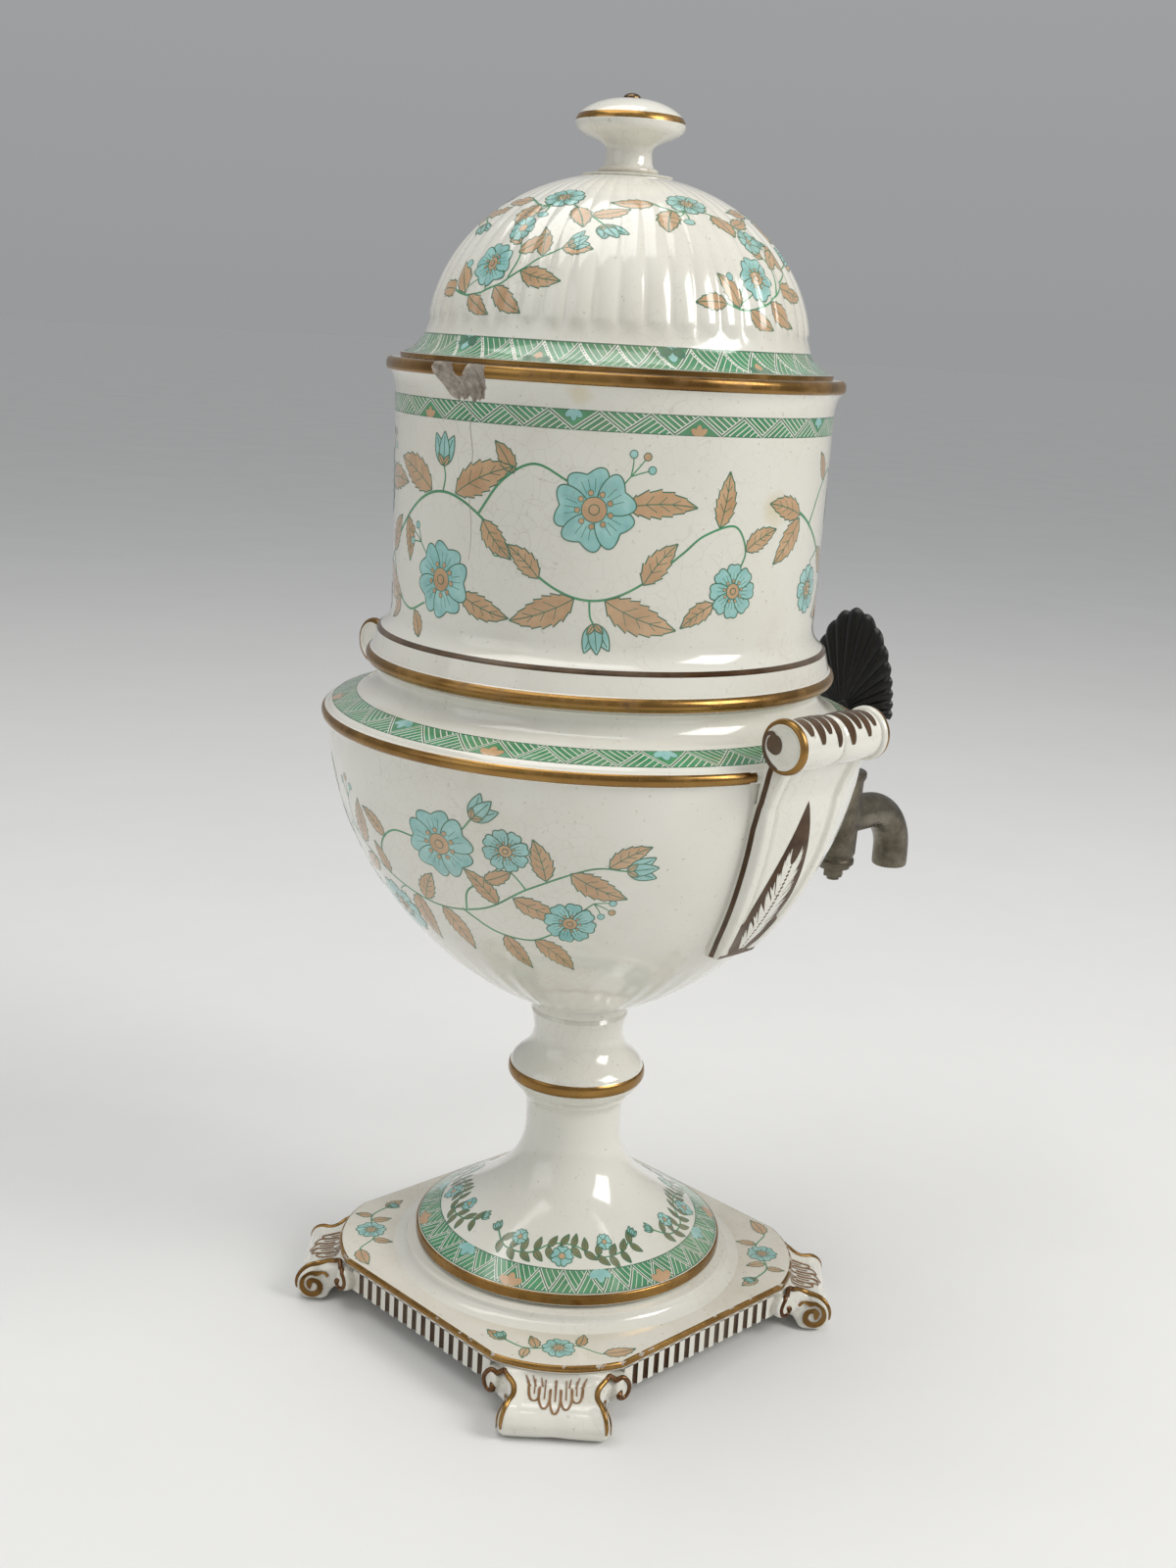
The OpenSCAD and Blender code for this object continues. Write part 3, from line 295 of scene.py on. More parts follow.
glazed("ivory", (0.78, 0.765, 0.69, 1), (0.735, 0.72, 0.64, 1), 20.0, 0.20, 0.22, 0.30)
glazed("cream", (0.76, 0.73, 0.64, 1), (0.69, 0.65, 0.55, 1), 30.0, 0.20, 0.36, 0.40)
glazed("green", (0.060, 0.31, 0.135, 1), (0.028, 0.20, 0.080, 1), 120.0)
glazed("leaf_line", (0.045, 0.19, 0.105, 1), (0.022, 0.115, 0.06, 1), 160.0)
glazed("turquoise", (0.36, 0.64, 0.60, 1), (0.20, 0.47, 0.45, 1), 150.0)
glazed("tan", (0.60, 0.385, 0.215, 1), (0.47, 0.275, 0.135, 1), 120.0)
glazed("olive", (0.24, 0.21, 0.085, 1), (0.12, 0.125, 0.045, 1), 170.0)
glazed("brown", (0.085, 0.040, 0.014, 1), (0.040, 0.018, 0.006, 1), 150.0, 0.05, 0.1, 0.1)
glazed("umber", (0.29, 0.155, 0.065, 1), (0.18, 0.085, 0.035, 1), 150.0, 0.05, 0.1, 0.1)
glazed("white_line", (0.80, 0.80, 0.72, 1), (0.74, 0.75, 0.66, 1), 150.0, 0.1, 0.2, 0.1)
for name in ("brown", "umber"):
    tree = FINISH[name].node_tree
    fill(tree, tree.nodes["Principled BSDF"].inputs, {"Coat Weight": 0.04, "Specular IOR Level": 0.12})
print("glazes:", ", ".join(FINISH))

# %% [markdown]
# ### Gilding
#
# Rims, rings and lines are burnished gold on the glaze, rubbed thin by use. A plain metal finish would look
# new, so noise rubs it through to a brown ground in spots and dulls it there.

# %% Gilding, worn thin
def gilding(name, bright, deep, bare):
    """Gilding from bright to deep, rubbed through to a bare tone in spots."""
    tree, shader = new_finish(name, bright)
    place = own_place(tree)
    rub = noise(tree, place, 95.0, 5.0, 0.65)
    worn = ramp(tree, rub, 0.63, 0.72, 0.0, 0.8)
    leaf = blend(tree, ramp(tree, noise(tree, place, 30.0), 0.35, 0.7), bright, deep)
    fill(tree, shader, {"Base Color": blend(tree, worn, leaf, bare),
                        "Metallic": ramp(tree, rub, 0.5, 0.7, 0.95, 0.45),
                        "Roughness": ramp(tree, rub, 0.3, 0.75, 0.15, 0.42)})


gilding("gold", (0.36, 0.205, 0.06, 1), (0.18, 0.092, 0.027, 1), (0.12, 0.06, 0.024, 1))
gilding("bronze", (0.17, 0.085, 0.035, 1), (0.10, 0.045, 0.022, 1), (0.07, 0.03, 0.016, 1))

print("finishes so far:", len(FINISH))

# %% [markdown]
# ### Clay, metal, leather and wood
#
# Chips show dull clay, the tap is tarnished white metal, the washers are leather and the shell is ebonised
# wood. Each could be wired on its own, but one recipe for old metal and one for dull, grainy stuff cover
# them all.

# %% Bare clay, metals, leather and ebonised wood
def tarnish_group():
    """Dark, dull patches that creep over metal."""
    group, given, result = new_group(
        "tarnish",
        [("Metal", COLOUR, (0.5, 0.5, 0.5, 1)), ("Patina", COLOUR, (0.1, 0.1, 0.1, 1)),
         ("Amount", NUMBER, 0.5)],
        [("Colour", COLOUR), ("Roughness", NUMBER), ("Height", NUMBER)])
    place = own_place(group)
    creep = noise(group, place, 75.0, 6.0, 0.65)
    dull = times(group, ramp(group, creep, 0.36, 0.64), given["Amount"])
    group.links.new(blend(group, dull, given["Metal"], given["Patina"]), result["Colour"])
    group.links.new(ramp(group, creep, 0.3, 0.7, 0.18, 0.48), result["Roughness"])
    group.links.new(noise(group, place, 420.0, 4.0), result["Height"])
    return group


tarnish = tarnish_group()


def metal(name, bright, patina, amount, dent):
    """Bright metal under dark patches, with small dents."""
    tree, shader = new_finish(name, bright)
    old = wire(tree, "ShaderNodeGroup", {"node_tree": tarnish},
               {"Metal": bright, "Patina": patina, "Amount": amount}).outputs
    fill(tree, shader, {"Base Color": old["Colour"], "Roughness": old["Roughness"], "Metallic": 0.9,
                        "Normal": bump(tree, old["Height"], dent, 0.001)})


def matte(name, pale, deep, grain, dent, rough, gloss):
    """A dull finish whose grain shows in its colour and its surface."""
    tree, shader = new_finish(name, pale)
    grains = noise(tree, own_place(tree), grain, 6.0, 0.65)
    fill(tree, shader, {"Base Color": blend(tree, ramp(tree, grains, 0.3, 0.7), pale, deep),
                        "Roughness": ramp(tree, grains, 0.3, 0.7, rough, rough + 0.18),
                        "Normal": bump(tree, grains, dent, 0.001), "Specular IOR Level": gloss})


metal("pewter", (0.21, 0.187, 0.142, 1), (0.066, 0.054, 0.039, 1), 0.8, 0.3)
metal("old_brass", (0.13, 0.085, 0.045, 1), (0.045, 0.03, 0.02, 1), 0.7, 0.3)
metal("iron", (0.27, 0.25, 0.23, 1), (0.12, 0.07, 0.045, 1), 0.8, 0.5)
matte("clay", (0.60, 0.55, 0.485, 1), (0.30, 0.25, 0.20, 1), 330.0, 1.0, 0.8, 0.15)
matte("crack", (0.40, 0.35, 0.28, 1), (0.28, 0.24, 0.19, 1), 300.0, 0.0, 0.5, 0.3)
matte("leather", (0.30, 0.18, 0.10, 1), (0.20, 0.11, 0.06, 1), 700.0, 0.5, 0.6, 0.3)
matte("ebony", (0.007, 0.0066, 0.0066, 1), (0.004, 0.004, 0.004, 1), 240.0, 0.06, 0.26, 0.36)
matte("paper", (0.80, 0.80, 0.79, 1), (0.77, 0.77, 0.76, 1), 6.0, 0.0, 0.7, 0.3)
floor.data.materials.append(FINISH["paper"])
print("finishes:", sorted(FINISH))

# %% [markdown]
# ## Turned pieces
#
# The pottery was thrown and turned, so most pieces are a line drawn once and spun round the upright axis.
# In Blender the line is drawn by extruding one vertex from point to point, and Spin turns it. A Screw
# modifier would do as well. The line is drawn in runs, and each run names its finish, so gilt rings and
# bands are rows of faces with edges as sharp as a painter's line.

# %% Curves for the lines
stack = np.column_stack


def unit(values):
    """Holds values between 0 and 1."""
    return np.clip(values, 0, 1)


def raised(base, *points):
    """Points (radius, height) whose heights are counted from a base."""
    return [(r, base + z) for r, z in points]


def curve(a, b, c, d, n=16):
    """Points of a smooth curve from a to d, pulled towards b and c."""
    t = np.linspace(0, 1, n + 1)[:, None]
    a, b, c, d = (np.array(p, float) for p in (a, b, c, d))
    points = (1 - t) ** 3 * a + 3 * (1 - t) ** 2 * t * b + 3 * (1 - t) * t ** 2 * c + t ** 3 * d
    return [tuple(p) for p in points]


def arc(centre, radius, start, end, n=12):
    """Points of a circle's arc, with its angles in degrees."""
    angles = np.radians(np.linspace(start, end, n + 1))
    return [(centre[0] + radius * math.cos(a), centre[1] + radius * math.sin(a)) for a in angles]


# %% Lengths and smooth paths
def way_along(line):
    """Distance of each point of a line from its start."""
    steps = np.diff(np.array(line), axis=0)
    return np.concatenate([[0], np.cumsum(np.linalg.norm(steps, axis=1))])


def flow(points, n=10):
    """A smooth line through some points, with n steps from each to the next."""
    p = np.array(points, float)
    p = np.vstack([2 * p[0] - p[1], p, 2 * p[-1] - p[-2]])
    t = np.linspace(0, 1, n, endpoint=False)[:, None]
    parts = []
    for a, b, c, d in zip(p, p[1:], p[2:], p[3:]):
        square, cube = 2 * a - 5 * b + 4 * c - d, 3 * b - a - 3 * c + d
        parts.append(0.5 * (2 * b + (c - a) * t + square * t ** 2 + cube * t ** 3))
    return np.vstack(parts + [p[-2:-1]])


def smooth_path(points, n):
    """Even points on a smooth line through some places."""
    line = flow(points, 12)
    way = way_along(line)
    even = np.linspace(0, way[-1], n)
    return stack([np.interp(even, way, c) for c in line.T])


def cut_at(points, *heights):
    """Cuts a rising line at some heights and gives its pieces from the bottom up."""
    parts = []
    rest = np.array(points)
    for height in heights:
        k = int(np.argmax(rest[:, 1] > height))
        below, above = rest[k - 1], rest[k]
        share = (height - below[1]) / (above[1] - below[1])
        at = below + (above - below) * share
        parts.append([tuple(p) for p in rest[:k]] + [tuple(at)])
        rest = np.vstack([at, rest[k:]])
    parts.append([tuple(p) for p in rest])
    return parts


# %% Drawing a line of edges
merge_gap = 0.002 * mm


def select_only(piece):
    bpy.ops.object.select_all(action='DESELECT')
    piece.select_set(True)
    bpy.context.view_layer.objects.active = piece


def start_edit():
    bpy.ops.object.mode_set(mode='EDIT')
    bpy.ops.mesh.select_all(action='SELECT')


def end_edit():
    bpy.ops.object.mode_set(mode='OBJECT')


def close_up():
    """Merges doubled points and turns every face outwards, in edit mode."""
    bpy.ops.mesh.select_all(action='SELECT')
    bpy.ops.mesh.remove_doubles(threshold=merge_gap)
    bpy.ops.mesh.normals_make_consistent(inside=False)


def draw_line(name, points):
    """A line of edges through points (x, y, z), drawn by extruding one vertex; it is left in edit mode."""
    points = [Vector(p) * mm for p in points]
    bpy.ops.object.select_all(action='DESELECT')
    bpy.ops.mesh.primitive_plane_add(size=mm)
    piece = bpy.context.object
    piece.name = piece.data.name = name
    start_edit()
    bpy.ops.mesh.merge(type='CENTER')
    bpy.ops.transform.translate(value=points[0])
    for a, b in zip(points, points[1:]):
        bpy.ops.mesh.extrude_vertices_move(TRANSFORM_OT_translate={"value": b - a})
    return piece


# %% Finishes and points of a mesh
smooth_under = math.radians(38)


def paint(piece, finishes):
    """Gives each face of a piece its finish by name."""
    used = sorted(set(finishes))
    piece.data.materials.clear()
    for name in used:
        piece.data.materials.append(FINISH[name])
    piece.data.polygons.foreach_set("material_index", [used.index(name) for name in finishes])


def spots_of(piece):
    """The points of a piece's mesh, one in each row."""
    spots = np.empty(len(piece.data.vertices) * 3)
    piece.data.vertices.foreach_get("co", spots)
    return spots.reshape(-1, 3)


def move_spots(piece, spots):
    """Moves the points of a piece's mesh to places in millimetres."""
    piece.data.vertices.foreach_set("co", (spots * mm).ravel())
    piece.data.update()


def set_down(piece, place=(0, 0, 0), turn=(0, 0, 0)):
    """Turns a piece and moves it to a place, and applies both to its mesh."""
    select_only(piece)
    piece.rotation_euler = turn
    piece.location = [c * mm for c in place]
    bpy.ops.object.transform_apply(location=True, rotation=True, scale=True)


def face_centres(piece):
    spots = np.empty(len(piece.data.polygons) * 3)
    piece.data.polygons.foreach_get("center", spots)
    return spots.reshape(-1, 3) / mm


def soften(piece):
    """Smooth shading, with real edges kept crisp."""
    select_only(piece)
    bpy.ops.object.shade_smooth_by_angle(angle=smooth_under)


# %% Spinning and pressing
same_spot = 1e-4


def turned(name, runs, steps=192):
    """Spins the runs of a line, given as (finish, points (radius, height)), into one solid piece."""
    outline = [runs[0][1][0]]
    skins = []
    for finish, points in runs:
        for p in points:
            if math.dist(p, outline[-1]) > same_spot:
                outline.append(p)
                skins.append(finish)
    piece = draw_line(name, [(r, 0, z) for r, z in outline])
    bpy.ops.mesh.select_all(action='SELECT')
    bpy.ops.mesh.spin(steps=steps, angle=2 * math.pi, center=(0, 0, 0), axis=(0, 0, 1))
    close_up()
    end_edit()
    centres = face_centres(piece)
    flat = stack([np.hypot(centres[:, 0], centres[:, 1]), centres[:, 2]])
    outline = np.array(outline)
    middles = (outline[1:] + outline[:-1]) / 2
    row = np.argmin(((flat[:, None, :] - middles[None, :, :]) ** 2).sum(axis=2), axis=1)
    paint(piece, [skins[k] for k in row])
    soften(piece)
    print(name, len(piece.data.vertices), "points")
    return piece


def press(piece, shape):
    """Moves the points of a turned piece: shape(angle, radius, height) gives new radii and heights."""
    x, y, z = spots_of(piece).T / mm
    angle = np.arctan2(y, x)
    radius, height = shape(angle, np.hypot(x, y), z)
    move_spots(piece, stack([radius * np.cos(angle), radius * np.sin(angle), height]))


# %% Dressing and carving
def dress(piece, body, slot, *nodes):
    """Rides a finished piece on its body and hides the nodes that it stands for; its slot is not used."""
    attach(piece, body)
    if nodes:
        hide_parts(*nodes)
    print(piece.name, "on", body, len(piece.data.polygons), "faces")


def carve(piece, tool, way):
    """Cuts a tool piece out of a piece, or adds it, and removes the tool."""
    select_only(piece)
    change = piece.modifiers.new("carve", 'BOOLEAN')
    change.object = tool
    change.operation = way
    change.solver = 'EXACT'
    change.material_mode = 'TRANSFER'
    bpy.ops.object.modifier_apply(modifier=change.name)
    select_only(tool)
    bpy.ops.object.delete()


# %% [markdown]
# ### Lid
#
# The lid is a dome pressed with 48 broad reeds that end on a small ledge above a printed band. The reeds
# could be 48 copies of a rib, but pressing the spun dome in and out by its angle keeps one seamless skin.

# %% Lid
ease = 0.8
lid_r = 75.6
lid_edge = 1.7
dome_r = 66.6
dome_z = rim_z + 8.1
reed_low_z = dome_z + 7.0
lid_wall = 4.8
knob_base_r = 15.6
lid_rim_r = 70.6
lid_rim_l = 8.0
bolt_hole_r = 2.1
reed_count = 48
lid_steps = reed_count * 10
reed_depth = 0.9
dome_h = (crown_z - dome_z) / math.sqrt(1 - (knob_base_r / dome_r) ** 2)


def dome(radius, height, low, high, n):
    """Oval arc of the dome between two angles in degrees."""
    angles = np.radians(np.linspace(low, high, n + 1))
    return [(radius * math.cos(a), dome_z + height * math.sin(a)) for a in angles]


print("dome", round(dome_h, 1), "mm high")

# %% Spinning the lid
reed_a = math.degrees(math.asin((reed_low_z - dome_z) / dome_h))
crown_a = math.degrees(math.acos(knob_base_r / dome_r))
inner_a = math.degrees(math.asin((crown_z - lid_wall - dome_z) / (dome_h - lid_wall)))
ledge_r = dome_r * math.cos(math.radians(reed_a))
lid_sweep = curve((lid_r, rim_z + lid_edge), (lid_r - 5, rim_z + lid_edge + ease),
                  (ledge_r + 2 * ease, dome_z - ease), (ledge_r + ease, dome_z + 2 * ease), 24)
lid_band = (rim_z + 1.85, rim_z + 8.6)
sweep_low, sweep_band, sweep_top = cut_at(lid_sweep, *lid_band)
lid_dome = dome(dome_r, dome_h, reed_a, crown_a, 40)
lid = turned("lid_dome", [
    ("ivory", [(lid_rim_r, rim_z), (lid_r - ease / 2, rim_z)]),
    ("gold", [(lid_r, rim_z + ease / 2), (lid_r, rim_z + lid_edge)]),
    ("ivory", sweep_low),
    ("green", sweep_band),
    ("ivory", sweep_top + [(ledge_r - ease / 2, reed_low_z - 2 * ease)] + lid_dome),
    ("ivory", [(bolt_hole_r, crown_z), (bolt_hole_r, crown_z - lid_wall)]),
    ("ivory", dome(dome_r - lid_wall, dome_h - lid_wall, inner_a, 0, 20)),
    ("ivory", [(lid_rim_r - lid_wall, rim_z + lid_edge), (lid_rim_r - lid_wall, rim_z - lid_rim_l)]),
    ("ivory", [(lid_rim_r - ease / 2, rim_z - lid_rim_l), (lid_rim_r, rim_z - lid_rim_l + ease / 2),
               (lid_rim_r, rim_z)]),
], lid_steps)


# %% Reeds of the lid
def reed_push(angle, radius, height):
    """How far the reeds press the dome's skin inwards: least on a reed's back, most in a groove."""
    groove = 1 - np.abs(np.sin(angle * reed_count / 2)) ** 0.8
    fade = unit((radius - knob_base_r - 1.5) / (dome_r - knob_base_r)) ** 0.6
    return -reed_depth * groove * fade


def press_reeds(angle, radius, height):
    skin_r = dome_r * np.sqrt(unit(1 - ((height - dome_z) / dome_h) ** 2))
    on_dome = (height > reed_low_z - 0.1) & (np.abs(radius - skin_r) < 0.5)
    return radius + np.where(on_dome, reed_push(angle, radius, height), 0), height


press(lid, press_reeds)
dress(lid, "lid", "ivory_glaze", "lid")

# %% [markdown]
# ### Knob and bolt
#
# The mushroom knob stands on a low skirt with a small cream collar, and has one gilt line above its widest
# edge. A domed bolt head holds it. A scaled sphere would do for the cap, but one turned line keeps the gilt
# line's edges.

# %% Knob and bolt
knob_r = 18.8
knob_wide_z = crown_z + 17.7
bolt_head_r = 3.0
cap_h = knob_top_z - knob_wide_z
knob_cap = curve((knob_r, knob_wide_z), (knob_r, knob_wide_z + cap_h * 0.45), (knob_r - cap_h, knob_top_z),
                 (bolt_head_r + 0.5, knob_top_z), 20)
cap_low, cap_line, cap_top = cut_at(knob_cap, knob_wide_z + 0.2, knob_wide_z + 2.4)
knob_skirt = curve(*raised(crown_z, (knob_base_r, ease), (13.4, 0.5), (11.8, 0.9), (10.5, 1.4)), 6)
knob_collar = arc((9.5, crown_z + 2.3), 0.9, -60, 70, 8)
knob_neck = curve(*raised(crown_z, (9.0, 3.4), (8.3, 4.4), (7.9, 6.0), (7.9, 8.4)), 10)
knob_under = curve((7.9, crown_z + 8.4), (7.9, knob_wide_z - 4.6), (knob_r + 0.4, knob_wide_z - 5.4),
                   (knob_r, knob_wide_z), 18)
knob = turned("mushroom_knob", [
    ("ivory", [(bolt_hole_r, crown_z), (knob_base_r - 0.3, crown_z), (knob_base_r, crown_z + 0.3)]),
    ("ivory", knob_skirt),
    ("cream", knob_collar),
    ("ivory", knob_neck + knob_under + cap_low),
    ("gold", cap_line),
    ("ivory", cap_top + [(bolt_hole_r, knob_top_z - 0.3)]),
    ("ivory", [(bolt_hole_r, crown_z)]),
], 128)
dress(knob, "lid", "ivory_glaze", "lid_knob")

bolt_top = level("knob_bolt", HIGH)
bolt_low = level("knob_bolt", LOW)
bolt = turned("knob_bolt_head", [
    ("old_brass", [(0, bolt_low), (1.3, bolt_low), (1.7, bolt_low + 0.4), (1.7, knob_top_z)]),
    ("old_brass", [(bolt_head_r - 0.2, knob_top_z), (bolt_head_r, knob_top_z + 0.2)]),
    ("old_brass", curve((bolt_head_r, knob_top_z + 0.2), (bolt_head_r, knob_top_z + 1.2), (1.8, bolt_top),
                     (0, bolt_top), 10)),
], 48)
dress(bolt, "lid", "tap_metal", "knob_bolt")

# %% [markdown]
# ### Brewing vessel
#
# A straight, slightly spreading wall between a flared foot with a gilt bead and a gilt rim. The rim has
# lost a flake of glaze and clay. It could be sculpted, but Booleans with three rough lumps take it out in
# the same way each time, and the cut faces keep the lumps' clay finish.

# %% Brewing vessel
vessel_r = 75.9
vessel_top_r = 76.9
bead_r = 84.8
bead_h = 5.4
foot_top_z = collar_z + bead_h
flare_lip = (bead_r - 3.8, foot_top_z + 7.04)
flare_top = (vessel_r, foot_top_z + 16)
vessel_rim_r = 80.3
rim_low = (vessel_rim_r - 0.9, rim_z - 4.3)
sweep_foot = (vessel_top_r, rim_low[1] - 8.4)
bead_mid = (bead_r - bead_h / 2, collar_z + bead_h / 2)
vessel_bore = 71.3
floor_z = level("strainer", LOW)
floor_top_z = level("strainer", HIGH)
spigot_low_z = level("upper_vessel", LOW)
spigot_r = 72.9
spigot_bore = 68.3
floor_low_z = floor_z - 5
drain_r = 42.0
strainer_seat_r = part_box("strainer")[HIGH].x / mm + 0.7
band_z = (rim_z - 18.2, rim_z - 11.8)
lip_line = (flare_lip[1] - 0.7, flare_lip[1] + 0.9)

vessel_flare = curve(flare_lip, (flare_lip[0] - 2.4, flare_lip[1] + 1.6), (flare_top[0], flare_top[1] - 5.33),
                     flare_top, 16)
vessel_sweep = curve(sweep_foot, (sweep_foot[0], sweep_foot[1] + 4.2), (rim_low[0] - 1.6, rim_low[1] - 1.6),
                     rim_low, 12)
vessel_side = [(bead_r - 2, foot_top_z)] + vessel_flare + vessel_sweep
side_foot, side_lip, side_wall, side_band, side_neck = cut_at(vessel_side, *lip_line, *band_z)
print("drain seat", round(strainer_seat_r, 2))

# %% Spinning the brewing vessel
vessel = turned("brewing_vessel", [
    ("ivory", [(spigot_r, collar_z), (bead_mid[0] - ease, collar_z)] +
     arc(bead_mid, bead_h / 2, -84, -56, 3)),
    ("gold", arc(bead_mid, bead_h / 2, -56, 62, 12)),
    ("ivory", [(bead_r - 2, foot_top_z)] + side_foot),
    ("brown", side_lip),
    ("ivory", side_wall),
    ("green", side_band),
    ("ivory", side_neck),
    ("gold", curve(rim_low, (vessel_rim_r - 0.2, rim_low[1] + 0.3), (vessel_rim_r, rim_low[1] + 0.8),
                   (vessel_rim_r, rim_low[1] + 1.6), 6)),
    ("gold", curve((vessel_rim_r, rim_z - 2.2), (vessel_rim_r, rim_z - 0.9), (vessel_rim_r - 0.5, rim_z),
                   (vessel_rim_r - 1.8, rim_z), 8)),
    ("ivory", [(vessel_bore + 0.8, rim_z), (vessel_bore, rim_z - 0.8), (vessel_bore, floor_top_z + 2)]),
    ("ivory", [(vessel_bore - 2, floor_top_z), (strainer_seat_r, floor_top_z), (strainer_seat_r, floor_z)]),
    ("ivory", [(drain_r, floor_z), (drain_r, floor_low_z), (spigot_bore - 2, floor_low_z),
               (spigot_bore, floor_low_z - 2)]),
    ("ivory", [(spigot_bore, spigot_low_z), (spigot_r, spigot_low_z), (spigot_r, collar_z)]),
], 256)

# %% A flake lost from the rim
rim_slope = 0.27


def flake(turn, at, half, lean, seed):
    """A rough lump of clay: turn is its direction, at its distance and height, and lean tips its top."""
    bpy.ops.object.select_all(action='DESELECT')
    bpy.ops.mesh.primitive_ico_sphere_add(subdivisions=6, radius=1.0)
    lump = bpy.context.object
    spots = spots_of(lump)
    x, y, z = spots.T
    bumps = 1 + 0.07 * np.sin(5 * y + seed) * np.cos(4 * z + seed) + 0.05 * np.sin(13 * y + 9 * z + 3 * x)
    bumps = bumps + 0.025 * np.sin(33 * z + 5) * np.sin(29 * y + seed) + 0.012 * np.sin(80 * x + 60 * y)
    along, across, upward = (spots * bumps[:, None] * np.array(half)).T
    c, s = math.cos(math.radians(lean)), math.sin(math.radians(lean))
    across, upward = across * c + upward * s, upward * c - across * s
    radius, turn = at[0] + along + rim_slope * upward, math.radians(turn)
    spots = stack([radius * math.cos(turn) - across * math.sin(turn),
                             radius * math.sin(turn) + across * math.cos(turn), at[1] + upward])
    move_spots(lump, spots)
    lump.data.materials.append(FINISH["clay"])
    return lump


flakes = [(-178.0, (79.7, 355.2), (4.6, 4.8, 8.6), -34, 2.0),
          (-169.0, (79.6, 354.6), (4.2, 4.3, 7.2), 6, 0.7),
          (-173.4, (78.6, 351.6), (3.4, 3.8, 3.6), 20, 1.4)]
for shape in flakes:
    carve(vessel, flake(*shape), 'DIFFERENCE')
soften(vessel)
dress(vessel, "vessel", "ivory_glaze", "upper_vessel")

# %% [markdown]
# ### Bowl
#
# A deep bowl with a gilt bead under a printed shoulder, and a hollow neck. Its foot has soft flutes that
# fade out as the bowl widens, pressed like the reeds. The tap stands on a round boss. It could be a piece
# of its own, but a Boolean joins it on, so that no seam shows in the glaze.

# %% Bowl
bowl_r = 97.6
bowl_h = 112.0
bowl_foot_r = 18.6
rim_bead = 2.5
bead_z = bowl_z + bowl_h
shoulder_z = bead_z + 5.0
collar_top_r = 81.0
collar_bore = 73.6
bowl_bore = 92.6
bowl_wall = 5.0
bowl_floor_z = level("tie_head_washer", LOW)
rod_hole_r = 4.4
bowl_floor_r = 14.4
bowl_steps = 256
bowl_side = curve(*raised(bowl_z, (bowl_foot_r, 2.4), (52, 15), (95.2, 55), (bowl_r, 108.5)), 60)
bowl_inside = curve((bowl_floor_r, bowl_floor_z), (bowl_floor_r + 33.4, bowl_floor_z + 15),
                    (90.2, bowl_z + 55), (bowl_bore, bowl_z + bowl_h - bowl_wall), 40)
shoulder_band = raised(shoulder_z, (96.4, -1.1), (87.6, 2.3))
neck = curve(*raised(shoulder_z, (86.8, 2.5), (83.0, 3.1), (78.2, 8.2)), (collar_top_r, collar_z - ease), 16)
bead = ((bowl_r, bead_z), rim_bead)
seat_lip = 1.0
lip_r = 17.1
lip_round = 0.5
print("bowl", 2 * bowl_r, "mm wide")

# %% Spinning the bowl
bowl = turned("tea_bowl", [
    ("ivory", [(rod_hole_r, bowl_z), (lip_r, bowl_z), (lip_r, bowl_z - seat_lip),
               (bowl_foot_r - lip_round, bowl_z - seat_lip)]),
    ("ivory", arc((bowl_foot_r - lip_round, bowl_z - seat_lip + lip_round), lip_round, -90, 0, 4) +
     [(bowl_foot_r, bowl_z + ease)]),
    ("ivory", bowl_side + arc(*bead, -84, -50, 4)),
    ("gold", arc(*bead, -50, 56, 12)),
    ("ivory", arc(*bead, 56, 84, 4) + [(97.2, shoulder_z - 1.7), shoulder_band[0]]),
    ("green", shoulder_band[1:]),
    ("ivory", neck + [(collar_top_r - ease, collar_z), (collar_bore, collar_z)]),
    ("ivory", [(collar_bore, shoulder_z - bowl_wall / 2),
               (collar_bore + bowl_wall / 2, shoulder_z - bowl_wall)]),
    ("ivory", [(bowl_bore - bowl_wall, bead_z - ease)] + bowl_inside[::-1]),
    ("ivory", [(rod_hole_r, bowl_floor_z), (rod_hole_r, bowl_z)]),
], bowl_steps)

# %% Soft flutes low on the bowl
flute_count = 40
flute_fade = (bowl_z + 4, bowl_z + 12, bowl_z + 22, bowl_z + 40)


def press_flutes(angle, radius, height):
    """Soft flutes low on the bowl's outside."""
    strength = np.interp(height, flute_fade, (0, 1, 1, 0))
    side = np.interp(height, [p[1] for p in bowl_side], [p[0] for p in bowl_side])
    outside = np.abs(radius - side) < 0.4
    depth = 0.5 * strength * (0.5 + 0.5 * np.cos(flute_count * angle))
    return radius - np.where(outside, depth, 0), height


press(bowl, press_flutes)
print(flute_count, "flutes pressed")

# %% Gilding of the bead
# The gilding stops where the handles' straps pass over the bead
gilt = [m.name for m in bowl.data.materials].index("gold")
plain = [m.name for m in bowl.data.materials].index("ivory")
strap_clear = math.radians(13.2)
column = 2 * math.pi / bowl_steps
for face, (x, y, z) in zip(bowl.data.polygons, face_centres(bowl)):
    from_strap = math.atan2(abs(x), abs(y))
    on_edge = abs(z - bead_z - 0.2) > 0.6 * rim_bead
    if face.material_index == gilt and from_strap < strap_clear + on_edge * column:
        face.material_index = plain
print("gilding stops", round(math.degrees(strap_clear), 1), "degrees from a strap")

